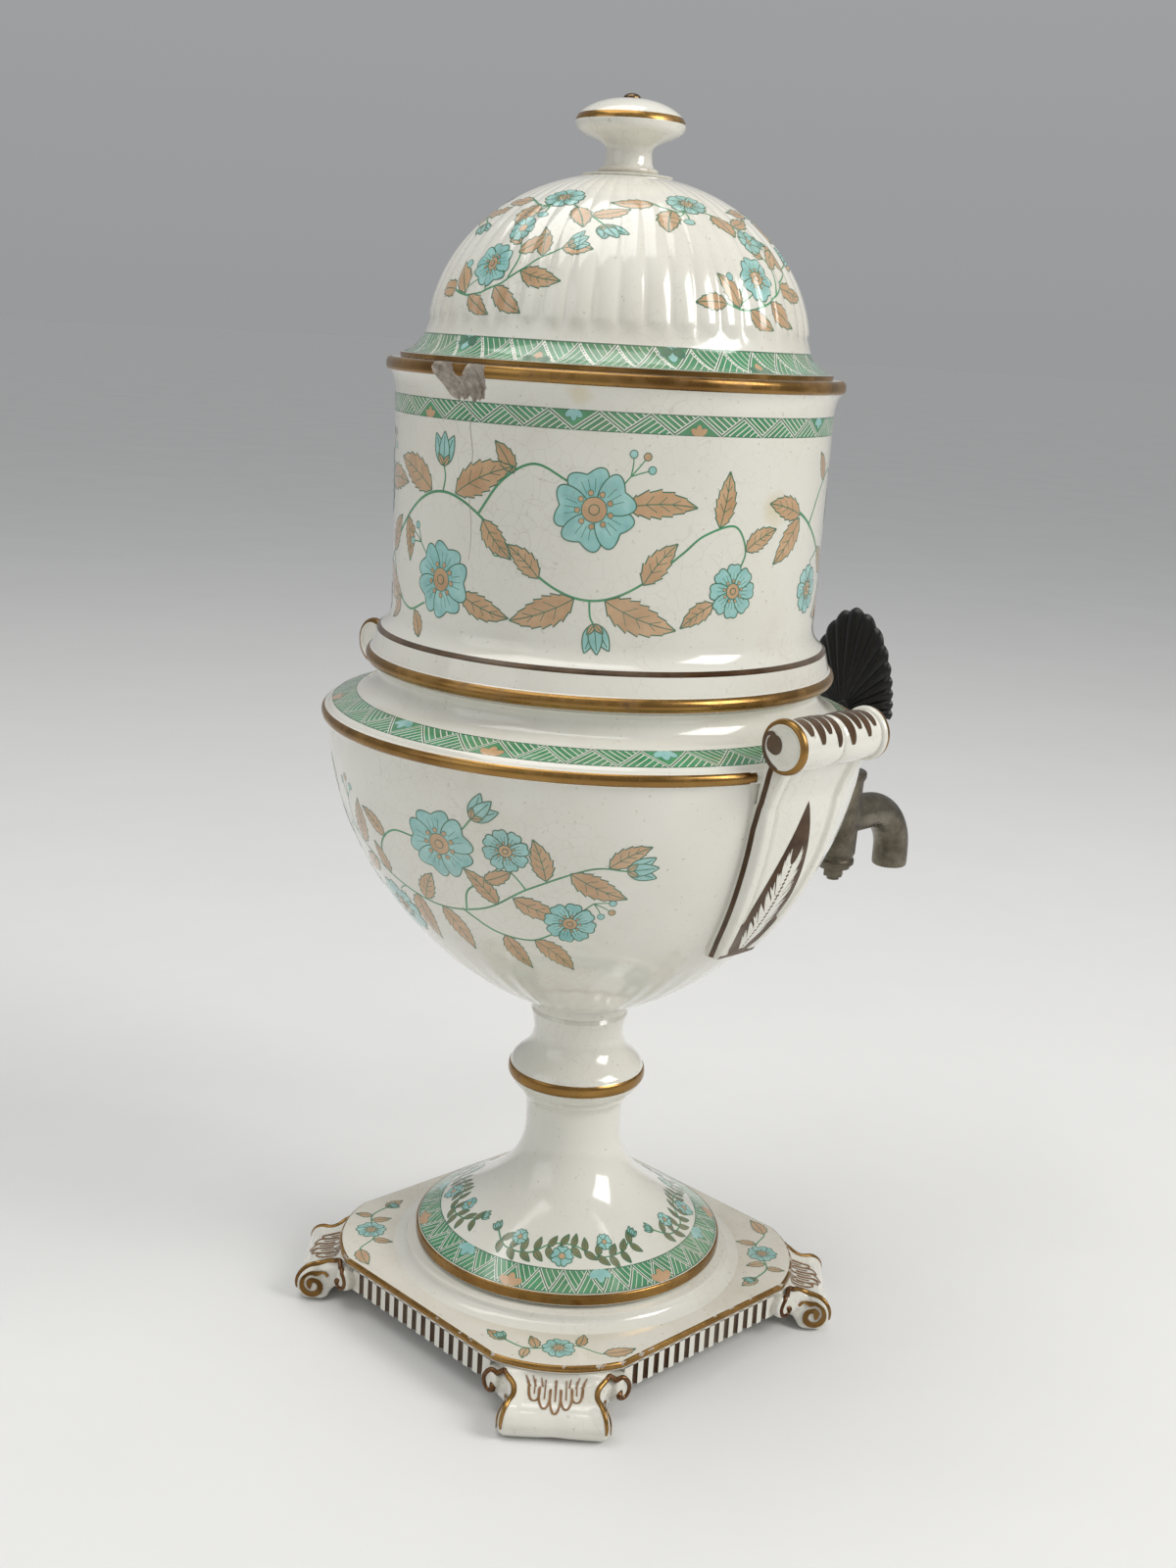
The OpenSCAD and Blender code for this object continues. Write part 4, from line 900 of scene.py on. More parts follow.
# %% The tap's boss and hole
tap_z = (level("tap_outer_washer", LOW) + level("tap_outer_washer", HIGH)) / 2
boss_face_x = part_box("tap_outer_washer")[LOW].x / mm
boss_in_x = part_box("tap_inner_washer")[HIGH].x / mm
boss_r = 14.8
boss_round = 1.2
shank_r = 8.0
hole_r = shank_r + 0.4
along_x = (0, math.pi / 2, 0)
boss_l = boss_face_x - boss_in_x
boss = turned("boss", [("ivory", [(0, 0), (boss_r, 0), (boss_r, boss_l - boss_round)] +
                        arc((boss_r - boss_round, boss_l - boss_round), boss_round, 0, 90, 6) +
                        [(0, boss_l)])], 64)
set_down(boss, (boss_in_x, 0, tap_z), along_x)
carve(bowl, boss, 'UNION')
hole = turned("hole", [("ivory", [(0, 0), (hole_r, 0), (hole_r, boss_l + 20), (0, boss_l + 20)])], 64)
set_down(hole, (boss_in_x - 10, 0, tap_z), along_x)
carve(bowl, hole, 'DIFFERENCE')
soften(bowl)
dress(bowl, "urn", "ivory_glaze", "bowl")

# %% [markdown]
# ### Pedestal
#
# A flared foot, a plain stem, a knop with a gilt ring and a short neck under the bowl, hollow below. It is
# turned in one line like the bowl. Separate primitives would need their joins blended.

# %% Pedestal
pedestal_r = 59.5
pedestal_edge = 4.6
stem_r = 18.4
pedestal_top = level("pedestal", HIGH)
flare = curve(*raised(pedestal_z, (pedestal_r - ease, pedestal_edge), (pedestal_r - 21, 17),
                      (stem_r, 25.6), (stem_r, 46.6)), 40)
cone_band = (pedestal_z + 4.75, pedestal_z + 9.8)
flare_low, flare_band, flare_up = cut_at(flare, *cone_band)
stem = curve(*raised(pedestal_z, (stem_r, 46.6), (stem_r, 55.2), (stem_r, 57.2), (20.0, 59.2)), 8)
knop_under = curve(*raised(pedestal_z, (20.6, 61.4), (22.6, 62.4), (24.8, 64.0), (25.3, 66.6)), 8)
knop_gilt = curve(*raised(pedestal_z, (25.3, 66.6), (26.6, 66.8), (26.5, 71.0), (25.5, 71.3)), 10)
shoulder = curve(*raised(pedestal_z, (25.5, 71.3), (24.6, 75.6), (17.6, 76.4), (17.1, 84.6)), 18)
crown = curve(*raised(pedestal_z, (17.1, 84.6), (17.1, 87), (17.6, 90.3), (18.4, 92.7)), 8)
hollow_r = 46.0
pedestal = turned("pedestal_foot", [
    ("ivory", raised(pedestal_z, (hollow_r, 0), (pedestal_r - ease, 0), (pedestal_r, ease))),
    ("gold", raised(pedestal_z, (pedestal_r, 1.9), (pedestal_r, 3.6)) +
     curve(*raised(pedestal_z, (pedestal_r, 3.6), (pedestal_r, 4.2), (pedestal_r - 0.3, 4.5),
                   (pedestal_r - ease, pedestal_edge)), 4)),
    ("ivory", flare_low),
    ("green", flare_band),
    ("ivory", flare_up + stem + raised(pedestal_z, (20.4, 59.6), (20.4, 61.2)) + knop_under),
    ("gold", knop_gilt),
    ("ivory", shoulder + crown + [(17.6, pedestal_top), (rod_hole_r, pedestal_top)]),
    ("clay", raised(pedestal_z, (rod_hole_r, 24), (rod_hole_r + 5, 24), (hollow_r, 0))),
], 224)
dress(pedestal, "urn", "ivory_glaze", "pedestal")

# %% [markdown]
# ## Copies, sheets and cast pieces
#
# Plinth, feet, handles and tap were cast in moulds, so their edges are soft and their parts flow together.
# Three more helpers serve them: a grid primitive whose points are moved into a shape, a way to copy a piece
# round the axis, and a voxel Remesh with a Smooth after it, which fuses overlapping lumps and rubs their
# edges soft. Bevels on every edge would also do, but they leave the joins sharp.

# %% Helpers for cast pieces
def sheet(name, spots):
    """A grid primitive with its points moved to spots[row, column], in millimetres."""
    rows, columns = spots.shape[:2]
    bpy.ops.object.select_all(action='DESELECT')
    bpy.ops.mesh.primitive_grid_add(x_subdivisions=columns - 1, y_subdivisions=rows - 1, size=1.0)
    piece = bpy.context.object
    piece.name = piece.data.name = name
    flat = spots_of(piece) + 0.5
    column = np.rint(flat[:, 0] * (columns - 1)).astype(int)
    row = np.rint(flat[:, 1] * (rows - 1)).astype(int)
    move_spots(piece, spots[row, column])
    return piece


def cap_ends():
    """Closes a rolled sheet: merges its seam and fills its two open ends, in edit mode."""
    bpy.ops.mesh.select_all(action='SELECT')
    bpy.ops.mesh.remove_doubles(threshold=merge_gap)
    bpy.ops.mesh.select_all(action='DESELECT')
    bpy.ops.mesh.select_non_manifold(extend=False)
    bpy.ops.mesh.fill_holes(sides=0)
    bpy.ops.mesh.select_all(action='SELECT')
    bpy.ops.mesh.normals_make_consistent(inside=False)


def loft(name, loops):
    """A closed piece through loops[row, point], with its two ends filled."""
    piece = sheet(name, np.concatenate([loops, loops[:, :1]], axis=1))
    start_edit()
    cap_ends()
    end_edit()
    return piece


# %% Casting, joining and copying
def use(piece, kind, **settings):
    """Adds a modifier with its settings and applies it."""
    select_only(piece)
    change = piece.modifiers.new(kind.lower(), kind)
    for key, value in settings.items():
        setattr(change, key, value)
    bpy.ops.object.modifier_apply(modifier=change.name)


def cast(piece, voxel, rubs):
    """Fuses a piece into one even skin and rubs its edges soft."""
    use(piece, 'REMESH', mode='VOXEL', voxel_size=voxel * mm, use_smooth_shade=True)
    use(piece, 'SMOOTH', factor=0.5, iterations=rubs)


def turn_copy(piece, name, angle):
    """A copy with its own mesh, turned round the urn's axis."""
    select_only(piece)
    bpy.ops.object.duplicate(linked=False)
    twin = bpy.context.object
    twin.name = twin.data.name = name
    set_down(twin, turn=(0, 0, angle))
    return twin


def one_finish(piece, finish):
    """Gives all of a piece one finish, with smooth shading."""
    paint(piece, [finish] * len(piece.data.polygons))
    soften(piece)


def join(pieces, name):
    select_only(pieces[0])
    for other in pieces[1:]:
        other.select_set(True)
    bpy.ops.object.join()
    pieces[0].name = pieces[0].data.name = name
    return pieces[0]


# %% [markdown]
# ## Plinth
#
# A square plate with notched round corners, gilt on its edge over a white bead, stands over a fluted apron,
# and a round seat with a hollow skirt carries the pedestal. The plate is a loft of its outline: each step
# of its edge is a loop of points, so the gilt half round and the white bead are rows of faces, and worn
# spots show the clay.

# %% Plinth plate
half_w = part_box("plinth")[HIGH].x / mm
half_flat = 42.8
corner_bulge = 5.6
notch_step = 1.4
plate_t = 3.2
plinth_z = plate_z + plate_t
corner_mid = (half_w + half_flat) / math.sqrt(2)
chord = (half_w - half_flat) * math.sqrt(2)
corner_arc_r = (chord ** 2 / 4 + corner_bulge ** 2) / (2 * corner_bulge)
corner_arc_x = corner_mid + corner_bulge - corner_arc_r
corner_arc_a = math.degrees(math.asin((chord / 2 - notch_step) / corner_arc_r))


def about(points, angle):
    """Turns flat points round the origin."""
    c, s = math.cos(angle), math.sin(angle)
    return [(x * c - y * s, x * s + y * c) for x, y in points]


corner = [(half_w, half_flat)]
corner += arc((corner_arc_x / math.sqrt(2),) * 2, corner_arc_r, 45 - corner_arc_a, 45 + corner_arc_a, 24)
corner += [(half_flat, half_w)]
plate_line = [p for k in range(4) for p in about(corner, k * math.pi / 2)]
print("outline of the plate", len(plate_line), "points")


def even_steps(line, step):
    """A closed flat line with points at even distances, its corners kept."""
    out = []
    for (ax, ay), (bx, by) in zip(line, line[1:] + line[:1]):
        n = max(1, round(math.hypot(bx - ax, by - ay) / step))
        out += [(ax + (bx - ax) * k / n, ay + (by - ay) * k / n) for k in range(n)]
    return np.array(out)


# %% Casting the plate
plate_line = even_steps(plate_line, 0.7)
around = np.roll(plate_line, -1, axis=0) - np.roll(plate_line, 1, axis=0)
outward = stack([around[:, 1], -around[:, 0]])
outward /= np.hypot(outward[:, 0], outward[:, 1])[:, None]
# Steps of the edge from below: height above the plate's underside, and how far it lies inside the outline
white_edge = [(0.0, 1.6), (0.0, 0.8), (0.3, 0.4), (0.75, 0.3)]
gilt_edge = [(0.9, 0.1), (1.3, 0.0), (1.9, 0.0), (2.45, 0.2), (2.85, 0.55), (3.1, 1.05), (plate_t, 1.7)]
edge_steps = white_edge + gilt_edge
loops = np.array([stack([plate_line - inset * outward, np.full(len(plate_line), plate_z + up)])
                  for up, inset in edge_steps])
plinth = loft("plinth_plate", loops)
print("plate", len(plinth.data.polygons), "faces")

# %% Worn gilding of the plate
centres = face_centres(plinth)
upright = np.array([f.normal.z for f in plinth.data.polygons])
wear = np.random.default_rng(7)
edge_chips = [(plate_line[k], wear.uniform(0.5, 1.5)) for k in wear.integers(0, len(plate_line), 46)]
notches = [tuple(p) for k in range(4) for p in about([corner[0], corner[-1]], k * math.pi / 2)]
edge_chips += [(np.array(p), 1.3) for p in notches]


def chipped(x, y, z):
    """Whether a place on the edge has lost its gilding."""
    ragged = 1 + 0.3 * math.sin(9 * x + 7 * y)
    down = 1.3 * (z - plinth_z)
    return any(math.hypot(x - c[0], y - c[1], down) < size * ragged for c, size in edge_chips)


skins = []
for up, (x, y, z) in zip(upright, centres):
    top = up > 0.95 and z > plinth_z - 0.05
    skins.append("cream" if top else "ivory" if z < plate_z + 0.8 else "clay" if chipped(x, y, z) else "gold")
paint(plinth, skins)
print(skins.count("clay"), "faces have lost their gilding")
soften(plinth)

# %% [markdown]
# ### Apron and seat
#
# Under each side of the plate hangs an apron with upright flutes that are painted brown. One outline with
# all the hollows is drawn, filled and extruded, and then copied round. Cutters in an Array would do as
# well, but they need a Boolean for what one outline already holds. The round seat is turned.

# %% Fluted apron
apron_drop = 2.6
apron_z = level("plinth", LOW) - apron_drop
apron_face = half_w - 1.6
apron_wall = 6.0
apron_end = half_flat - 2.5
flute_n = 14
flute_w = 2.7
flute_depth = 1.1
pitch = 2 * apron_end / (flute_n + 1)
apron_line = [(-apron_end, apron_face)]
for k in range(flute_n):
    middle = -apron_end + (k + 1) * pitch
    for a in np.linspace(180, 360, 7):
        apron_line.append((middle + flute_w / 2 * math.cos(math.radians(a)),
                           apron_face + flute_depth * math.sin(math.radians(a))))
apron_back = apron_face - apron_wall
apron_line += [(apron_end, apron_face), (apron_end, apron_back), (-apron_end, apron_back)]
apron_top_z = plate_z + 0.4
apron = draw_line("apron", [(x, y, apron_z) for x, y in apron_line + apron_line[:1]])
bpy.ops.mesh.select_all(action='SELECT')
bpy.ops.mesh.remove_doubles(threshold=merge_gap)
bpy.ops.mesh.edge_face_add()
bpy.ops.mesh.extrude_region_move(TRANSFORM_OT_translate={"value": (0, 0, (apron_top_z - apron_z) * mm)})
close_up()
end_edit()
centres = face_centres(apron)
in_flute = (centres[:, 1] < apron_face - 0.1) & (centres[:, 1] > apron_face - flute_depth - 0.1)
upright = np.array([abs(f.normal.z) for f in apron.data.polygons])
paint(apron, ["brown" if flute and up < 0.5 else "ivory" for flute, up in zip(in_flute, upright)])
soften(apron)
fillet_line = np.array(apron_line)[[0, -3, -2, -1]]
fillet = loft("fillet", np.array([stack([fillet_line, np.full(4, z)])
                                  for z in (plate_z - 1.2, plate_z - 0.6, apron_top_z)]))
paint(fillet, ["ivory"] * len(fillet.data.polygons))
apron = join([apron, fillet], "apron")
aprons = [apron] + [turn_copy(apron, f"apron_{k}", k * math.pi / 2) for k in (1, 2, 3)]
print(len(aprons), "aprons of", len(apron.data.polygons), "faces")

# %% Round seat
seat_r = 63.0
skirt_r = 68.0
seat_low_z = plate_z + 1
seat = turned("seat", [
    ("cream", [(rod_hole_r, seat_low_z), (skirt_r, seat_low_z)]),
    ("ivory", curve((skirt_r, plinth_z), (seat_r + 2, plinth_z + 0.9), (seat_r, plinth_z + 1.8),
                    (seat_r, seat_z - ease), 10)),
    ("ivory", [(seat_r - 0.25, seat_z - 0.25), (seat_r - ease, seat_z), (rod_hole_r, seat_z),
               (rod_hole_r, seat_low_z)]),
], 160)
plinth = join([plinth, seat] + aprons, "plinth_base")
dress(plinth, "urn", "ivory_glaze", "plinth")

# %% [markdown]
# ## Drawings laid on a surface
#
# Gilt scrolls, sprays and hatched bands are drawn flat, as strips of small faces, and then laid on the
# piece that carries them: first by a rule that takes each flat point near its place, then by a Shrinkwrap
# that sets it on the skin, and a Solidify that gives it the thickness of a coat of enamel. Painting into
# the material would also work, but a drawn line stays sharp in any view.

# %% Drawing
class Drawing:
    """Flat strips of faces, each with a finish and a height above the glaze."""

    def __init__(self, grain=2.0):
        self.grain = grain
        self.spots = []
        self.faces = []
        self.skins = []
        self.count = 0

    def strip(self, left, right, finish, lift, across=1):
        """Fills the space between two lines of points, with faces no larger than the grain."""
        left, right = np.asarray(left, float), np.asarray(right, float)
        longest = max(np.hypot(*np.diff(line, axis=0).T).max() for line in (left, right))
        parts = max(1, math.ceil(longest / self.grain))
        fine = np.arange((len(left) - 1) * parts + 1) / parts
        left, right = (stack([np.interp(fine, np.arange(len(line)), c) for c in line.T])
                       for line in (left, right))
        if across is None:
            across = max(1, math.ceil(np.hypot(*(left - right).T).max() / self.grain))
        t = np.linspace(0, 1, across + 1)[None, :, None]
        grid = left[:, None, :] * (1 - t) + right[:, None, :] * t
        rows, width = grid.shape[:2]
        flat = grid.reshape(rows * width, -1)
        self.spots.append(stack([flat, np.full(len(flat), lift)]))
        for i in range(rows - 1):
            for j in range(across):
                a = self.count + i * width + j
                self.faces.append((a, a + 1, a + width + 1, a + width))
                self.skins.append(finish)
        self.count += rows * width

    def stroke(self, path, width, finish, lift, across=1):
        """A brush line along a path; its width is one number or one for each point."""
        path = np.asarray(path, float)
        way = np.gradient(path, axis=0)
        if len(path) > 2 and np.allclose(path[0], path[-1]):
            way[[0, -1]] = path[1] - path[-2]
        way /= np.maximum(np.hypot(way[:, 0], way[:, 1]), 1e-9)[:, None]
        side = stack([-way[:, 1], way[:, 0]]) * (np.asarray(width, float) / 2).reshape(-1, 1)
        self.strip(path + side, path - side, finish, lift, across)


# %% Laying a drawing on a piece
def lay(name, drawing, place, body, slot, carrier, thick):
    """Makes a drawing a thin coat on a surface: place(u, v, lift) gives points in millimetres."""
    flat = np.concatenate(drawing.spots)
    mesh = bpy.data.meshes.new(name)
    mesh.from_pydata(place(flat[:, 0], flat[:, 1], flat[:, 2]) * mm, [], drawing.faces)
    piece = bpy.data.objects.new(name, mesh)
    bpy.context.collection.objects.link(piece)
    paint(piece, drawing.skins)
    select_only(piece)
    start_edit()
    bpy.ops.mesh.remove_doubles(threshold=0.0005 * mm)
    end_edit()
    if carrier:
        use(piece, 'SHRINKWRAP', target=carrier, wrap_method='NEAREST_SURFACEPOINT',
            wrap_mode='ABOVE_SURFACE', offset=thick * 1.3 * mm)
    use(piece, 'SOLIDIFY', thickness=thick * mm, offset=-1.0)
    start_edit()
    bpy.ops.mesh.normals_make_consistent(inside=False)
    end_edit()
    soften(piece)
    dress(piece, body, slot)
    return piece


# %% [markdown]
# ## Scroll feet
#
# Each foot is a tongue that runs down from under the plate's corner and rolls up into a scroll, and beside
# the aprons its shoulders end in small curls. One side outline is carried across the foot as a loft, two
# round lumps make the curls, and a voxel Remesh fuses them with soft edges, as slip fills a mould. Raised
# gilt lines follow.

# %% Body of a foot
foot_reach = 97.0
volute_r = 7.3
volute_z = 6.8
foot_back = 74.0
foot_front = 88.4
block_low = 7.6
plan_r = [72.0, 83.4, 86.4, 89.2, 91.7, 95.0, 99.0, 104.3]
plan_half = [22.8, 22.8, 20.6, 17.2, 15.6, 15.8, 17.6, 19.6]
roll_half_w = 19.6


def half_width(radius, height):
    """Half width of a foot: narrow at the tongue's waist, wide at the roll below it."""
    waist = np.interp(radius, plan_r, plan_half)
    low = unit((12.5 - np.asarray(height)) / 5.0) * unit((np.asarray(radius) - 88.5) / 3.0)
    return waist + (np.maximum(roll_half_w, waist) - waist) * low ** 1.5


tongue_line = curve((foot_front, plate_z - 0.5), (90.2, 15.8), (93.2, 14.3), (97.6, 13.9), 14)
tongue_line += arc((foot_reach, volute_z), volute_r, 82, -60, 24)[1:]
foot_side = [(foot_back, plate_z), (foot_front, plate_z)] + tongue_line
foot_side += arc((foot_reach, volute_z), volute_r, -60, -140, 12)[1:]
foot_side += curve((90.8, 3.4), (89.4, 5.8), (86.0, block_low), (82.0, block_low), 8)
foot_side += [(foot_back, block_low)]
foot_side = np.array(foot_side)
foot_side[:, 1] = np.clip(foot_side[:, 1], 0, plate_z)
foot_w = half_width(foot_side[:, 0], foot_side[:, 1])
print("outline of a foot", len(foot_side), "points")

# %% Sections of a foot
end_round = 3.0


def foot_section(share):
    """The side outline at a share of the half width, drawn in round at the ends of the roll."""
    y = share * foot_w
    past = unit((np.abs(y) - foot_w + end_round) / end_round)
    inset = end_round * (1 - np.sqrt(1 - past ** 2)) * unit((foot_side[:, 0] - 91) / 4)
    arm = foot_side - [foot_reach, volute_z]
    keep = 1 - inset / np.maximum(np.hypot(*arm.T), end_round)
    drawn = arm * keep[:, None] + [foot_reach, volute_z]
    return stack([drawn[:, 0], y, drawn[:, 1]])


shares = np.sin(np.linspace(-math.pi / 2, math.pi / 2, 45))
foot = loft("foot", np.array([foot_section(share) for share in shares]))
print("loft of a foot", len(shares), "sections")

# %% Curls beside a foot
curl_x, curl_y, curl_z = 83.2, 22.0, 12.2
curl_r = 4.4
curl_t = 6.4
reach = curl_t / 2 / math.sqrt(2)
lumps = [foot]
for side in (1, -1):
    lump = turned("curl", [("ivory", [(0, 0), (curl_r, 0), (curl_r, curl_t - ease)] +
                            arc((curl_r - ease, curl_t - ease), ease, 0, 90, 4) + [(0, curl_t - 0.3)])], 48)
    set_down(lump, (curl_x - reach, side * (curl_y - reach), curl_z), (0, math.pi / 2, side * math.pi / 4))
    lumps.append(lump)
foot = join(lumps, "foot")
cast(foot, 0.54, 10)
print("foot", len(foot.data.polygons), "faces")

# %% Hollow tongue, raised edges and dipped roll
spots = spots_of(foot) / mm
normals = np.empty(spots.size)
foot.data.vertex_normals.foreach_get("vector", normals)
normals = normals.reshape(-1, 3)
r, y, z = spots.T
facing = unit(0.8 * normals[:, 0] + 0.6 * normals[:, 2]) * unit((r - 87.5) / 3)
edge = half_width(r, z) - np.abs(y)
hollow = 1.5 * unit((edge - 2.4) / 4.0) ** 0.8 * unit((z - 7) / 5)
dip = 1.0 * np.exp(-(y / 5.0) ** 2) * unit((12 - z) / 5)
outer_dip = np.exp(-((np.abs(y) - 14) / 4) ** 2) * unit((10 - z) / 5)
dip = dip + 0.5 * unit((edge - 1.5) / 2.5) * outer_dip
spots = spots - normals * (facing * (hollow + dip))[:, None]
rise = 0.9 * np.exp(-(y / 5.5) ** 2) * unit((2.2 - z) / 2.2) * unit((r - 92) / 4)
spots[:, 2] = np.clip(spots[:, 2] + rise, 0, plate_z - 0.02)
spots[:, 0] = np.minimum(spots[:, 0], foot_reach + volute_r)
move_spots(foot, spots)
use(foot, 'SMOOTH', factor=0.5, iterations=2)
one_finish(foot, "ivory")

print("foot shaped,", round(float((facing * (hollow + dip)).max()), 2), "mm deep at most")

# %% [markdown]
# ### Gilding and paint of a foot
#
# A raised gilt line runs along each edge of the tongue and ends in a curl. A curve with a round bevel could
# lie there, but it would float or sink. So its points are first set on the foot's skin with a Shrinkwrap,
# and a bead is lofted through them. The leaf on the tongue and the spirals on the roll's ends are flat
# drawings.

# %% Raised gilt lines
def settle(path, carrier):
    """Brings a line of points onto a piece's skin."""
    line = draw_line("line", path)
    end_edit()
    use(line, 'SHRINKWRAP', target=carrier, wrap_method='NEAREST_SURFACEPOINT', wrap_mode='ON_SURFACE')
    spots = np.array([v.co for v in line.data.vertices]) / mm
    select_only(line)
    bpy.ops.object.delete()
    return spots


def bead_line(name, path, radii, finishes):
    """A round bead along a path, with one radius and one finish for each point."""
    way = np.gradient(path, axis=0)
    way /= np.linalg.norm(way, axis=1)[:, None]
    side = np.cross(way, [0.3, 0.2, 0.9])
    side /= np.linalg.norm(side, axis=1)[:, None]
    over = np.cross(side, way)
    ring = np.linspace(0, 2 * math.pi, 10, endpoint=False)
    loops = np.array([p + radius * (np.cos(ring)[:, None] * s + np.sin(ring)[:, None] * o)
                      for p, radius, s, o in zip(path, radii, side, over)])
    piece = loft(name, loops)
    nearest = [int(np.argmin(((path - c) ** 2).sum(axis=1))) for c in face_centres(piece)]
    paint(piece, [finishes[k] for k in nearest])
    soften(piece)
    return piece


hook = [(104.0, 18.6, 4.6), (103.8, 18.3, 8.6), (101.6, 17.2, 12.2), (97.6, 15.4, 13.9), (93.4, 14.6, 14.6),
        (90.8, 15.6, 15.8), (88.8, 18.0, 16.8), (86.6, 21.0, 16.8), (84.6, 24.2, 15.2), (83.6, 25.4, 12.2),
        (84.4, 24.6, 9.4), (86.0, 23.0, 8.8), (87.0, 21.8, 10.4), (86.2, 22.8, 12.0)]
hook_n = 90
gilt_lines = []
for side in (1, -1):
    path = settle(smooth_path([(x, side * w, h) for x, w, h in hook], hook_n), foot)
    t = np.linspace(0, 1, hook_n)
    radii = np.interp(t, [0, 0.06, 0.3, 0.55, 0.8, 0.93, 0.97, 1.0],
                      [0.25, 0.7, 1.0, 1.0, 0.85, 0.8, 1.25, 0.3])
    finishes = ["gold" if share < 0.52 else "bronze" for share in t]
    gilt_lines.append(bead_line(f"hook_{side + 1}", path, radii, finishes))
print("gilt lines", len(gilt_lines))

# %% Painted leaf of a foot
foot_lines = Drawing()
front_line = np.array(tongue_line)
front_s = way_along(front_line)


def on_foot_front(u, v, lift):
    """Takes u, across, and v, the way down the front from the plate, to a place on a foot."""
    x = np.interp(v, front_s, front_line[:, 0])
    return stack([x, u, np.interp(v, front_s, front_line[:, 1]) + lift])


def on_foot_end(u, v, lift):
    """Takes a flat place (distance from the axis, height) to the end of a foot's roll."""
    return stack([u, np.full(len(u), roll_half_w + 0.3), v])


leaf_top = 1.6
for side in (1, -1):
    for lobe_u, lobe_l, lobe_w in ((0.0, 13.4, 3.9), (3.8, 11.6, 4.1), (7.4, 8.2, 3.7)):
        t = np.linspace(0.04, math.pi - 0.04, 17)
        across_u = lobe_u - lobe_w / 2 * np.cos(t)
        down_v = leaf_top + 0.8 + lobe_l * np.sin(t) ** 0.5
        foot_lines.stroke(stack([side * across_u, down_v]), 0.76, "umber", 0.0)
        rib = np.array([[lobe_u - 0.2, leaf_top + 0.4], [lobe_u, leaf_top + 0.66 * lobe_l]])
        foot_lines.stroke(rib * [side, 1], 0.45, "umber", 0.0)
    for twig_u, lean, reach in ((4.6, 0.6, 2.6), (7.0, 1.2, 3.2), (8.9, 1.8, 3.2)):
        t = np.linspace(0, 1, 6)
        foot_lines.stroke(stack([side * (twig_u + lean * t), leaf_top + 2.4 - reach * t]),
                          0.65 - 0.35 * t, "umber", 0.0)
front_coat = lay("foot_front", foot_lines, on_foot_front, "urn", "ivory_glaze", foot, 0.12)

# %% Spirals on the ends of a foot
foot_ends = Drawing()
t = np.linspace(0, 1, 70)
wind = np.radians(150 - 560 * t)
coil = 5.6 - 4.6 * t
foot_ends.stroke(stack([foot_reach + coil * np.cos(wind), volute_z + coil * np.sin(wind)]),
                 1.2 + 1.1 * np.sin(math.pi * t) + 0.7 * t ** 4, "gold", 0.0, 3)
end_coat = lay("foot_end", foot_ends, on_foot_end, "urn", "ivory_glaze", foot, 0.25)

# %% Four painted feet
select_only(end_coat)
bpy.ops.object.duplicate(linked=False)
mirror_coat = bpy.context.object
mirror_coat.scale = (1, -1, 1)
bpy.ops.object.transform_apply(location=True, rotation=True, scale=True)
start_edit()
bpy.ops.mesh.normals_make_consistent(inside=False)
end_edit()
foot = join([foot, front_coat, end_coat, mirror_coat] + gilt_lines, "foot")
foot_turns = {"scroll_foot_1": 45, "scroll_foot_2": 135, "scroll_foot_3": 225, "scroll_foot_4": 315}
for name, degrees in foot_turns.items():
    one = turn_copy(foot, name.replace("scroll", "scrolled"), math.radians(degrees))
    dress(one, "urn", "ivory_glaze", name)
select_only(foot)
bpy.ops.object.delete()

# %% [markdown]
# ## Handles
#
# Each handle is a pinched roll held off the bowl's rim by a strap that narrows to a squared tip. The roll
# is turned and tipped over. The strap is a loft: a closed section with raised edges is carried up the
# bowl's side and out under the roll. A flat plate wrapped onto the bowl could serve too, but the loft needs
# no fitting.

# %% Roll of a handle
roll_z = bead_z + 12.2
roll_reach = bowl_r + 9.4
roll_half = 22.5
roll_r = 9.2
roll_pinch_r = 7.2
lobe_r = 8.5
half_roll = curve((roll_pinch_r, 0), (roll_pinch_r + 0.9, 0.3), (lobe_r, 3.0), (lobe_r, 9.0), 12)
half_roll += curve((lobe_r, 9.0), (lobe_r, 13.5), (lobe_r - 0.7, 16.0), (lobe_r - 0.5, 18.6), 8)[1:]
ring_low = curve((lobe_r - 0.5, 18.6), (roll_r - 0.3, 18.8), (roll_r, 19.4), (roll_r, 20.4), 6)
ring_top = curve((roll_r, 20.4), (roll_r, 21.8), (roll_r - 0.4, 22.4), (roll_r - 1.7, roll_half), 8)
end_face = curve((roll_r - 1.7, roll_half), (roll_r - 2.6, roll_half), (roll_r - 2.6, 21.8),
                 (roll_r - 3.6, 21.8), 6)
end_face += [(2.4, 22.0), (0, 22.2)]
right_half = [("ivory", half_roll), ("ivory", ring_low), ("gold", ring_top), ("ivory", end_face)]
left_half = [(finish, [(r, -h) for r, h in reversed(points)]) for finish, points in reversed(right_half)]
roll = turned("roll", left_half + right_half, 96)
set_down(roll, (0, -roll_reach, roll_z), along_x)

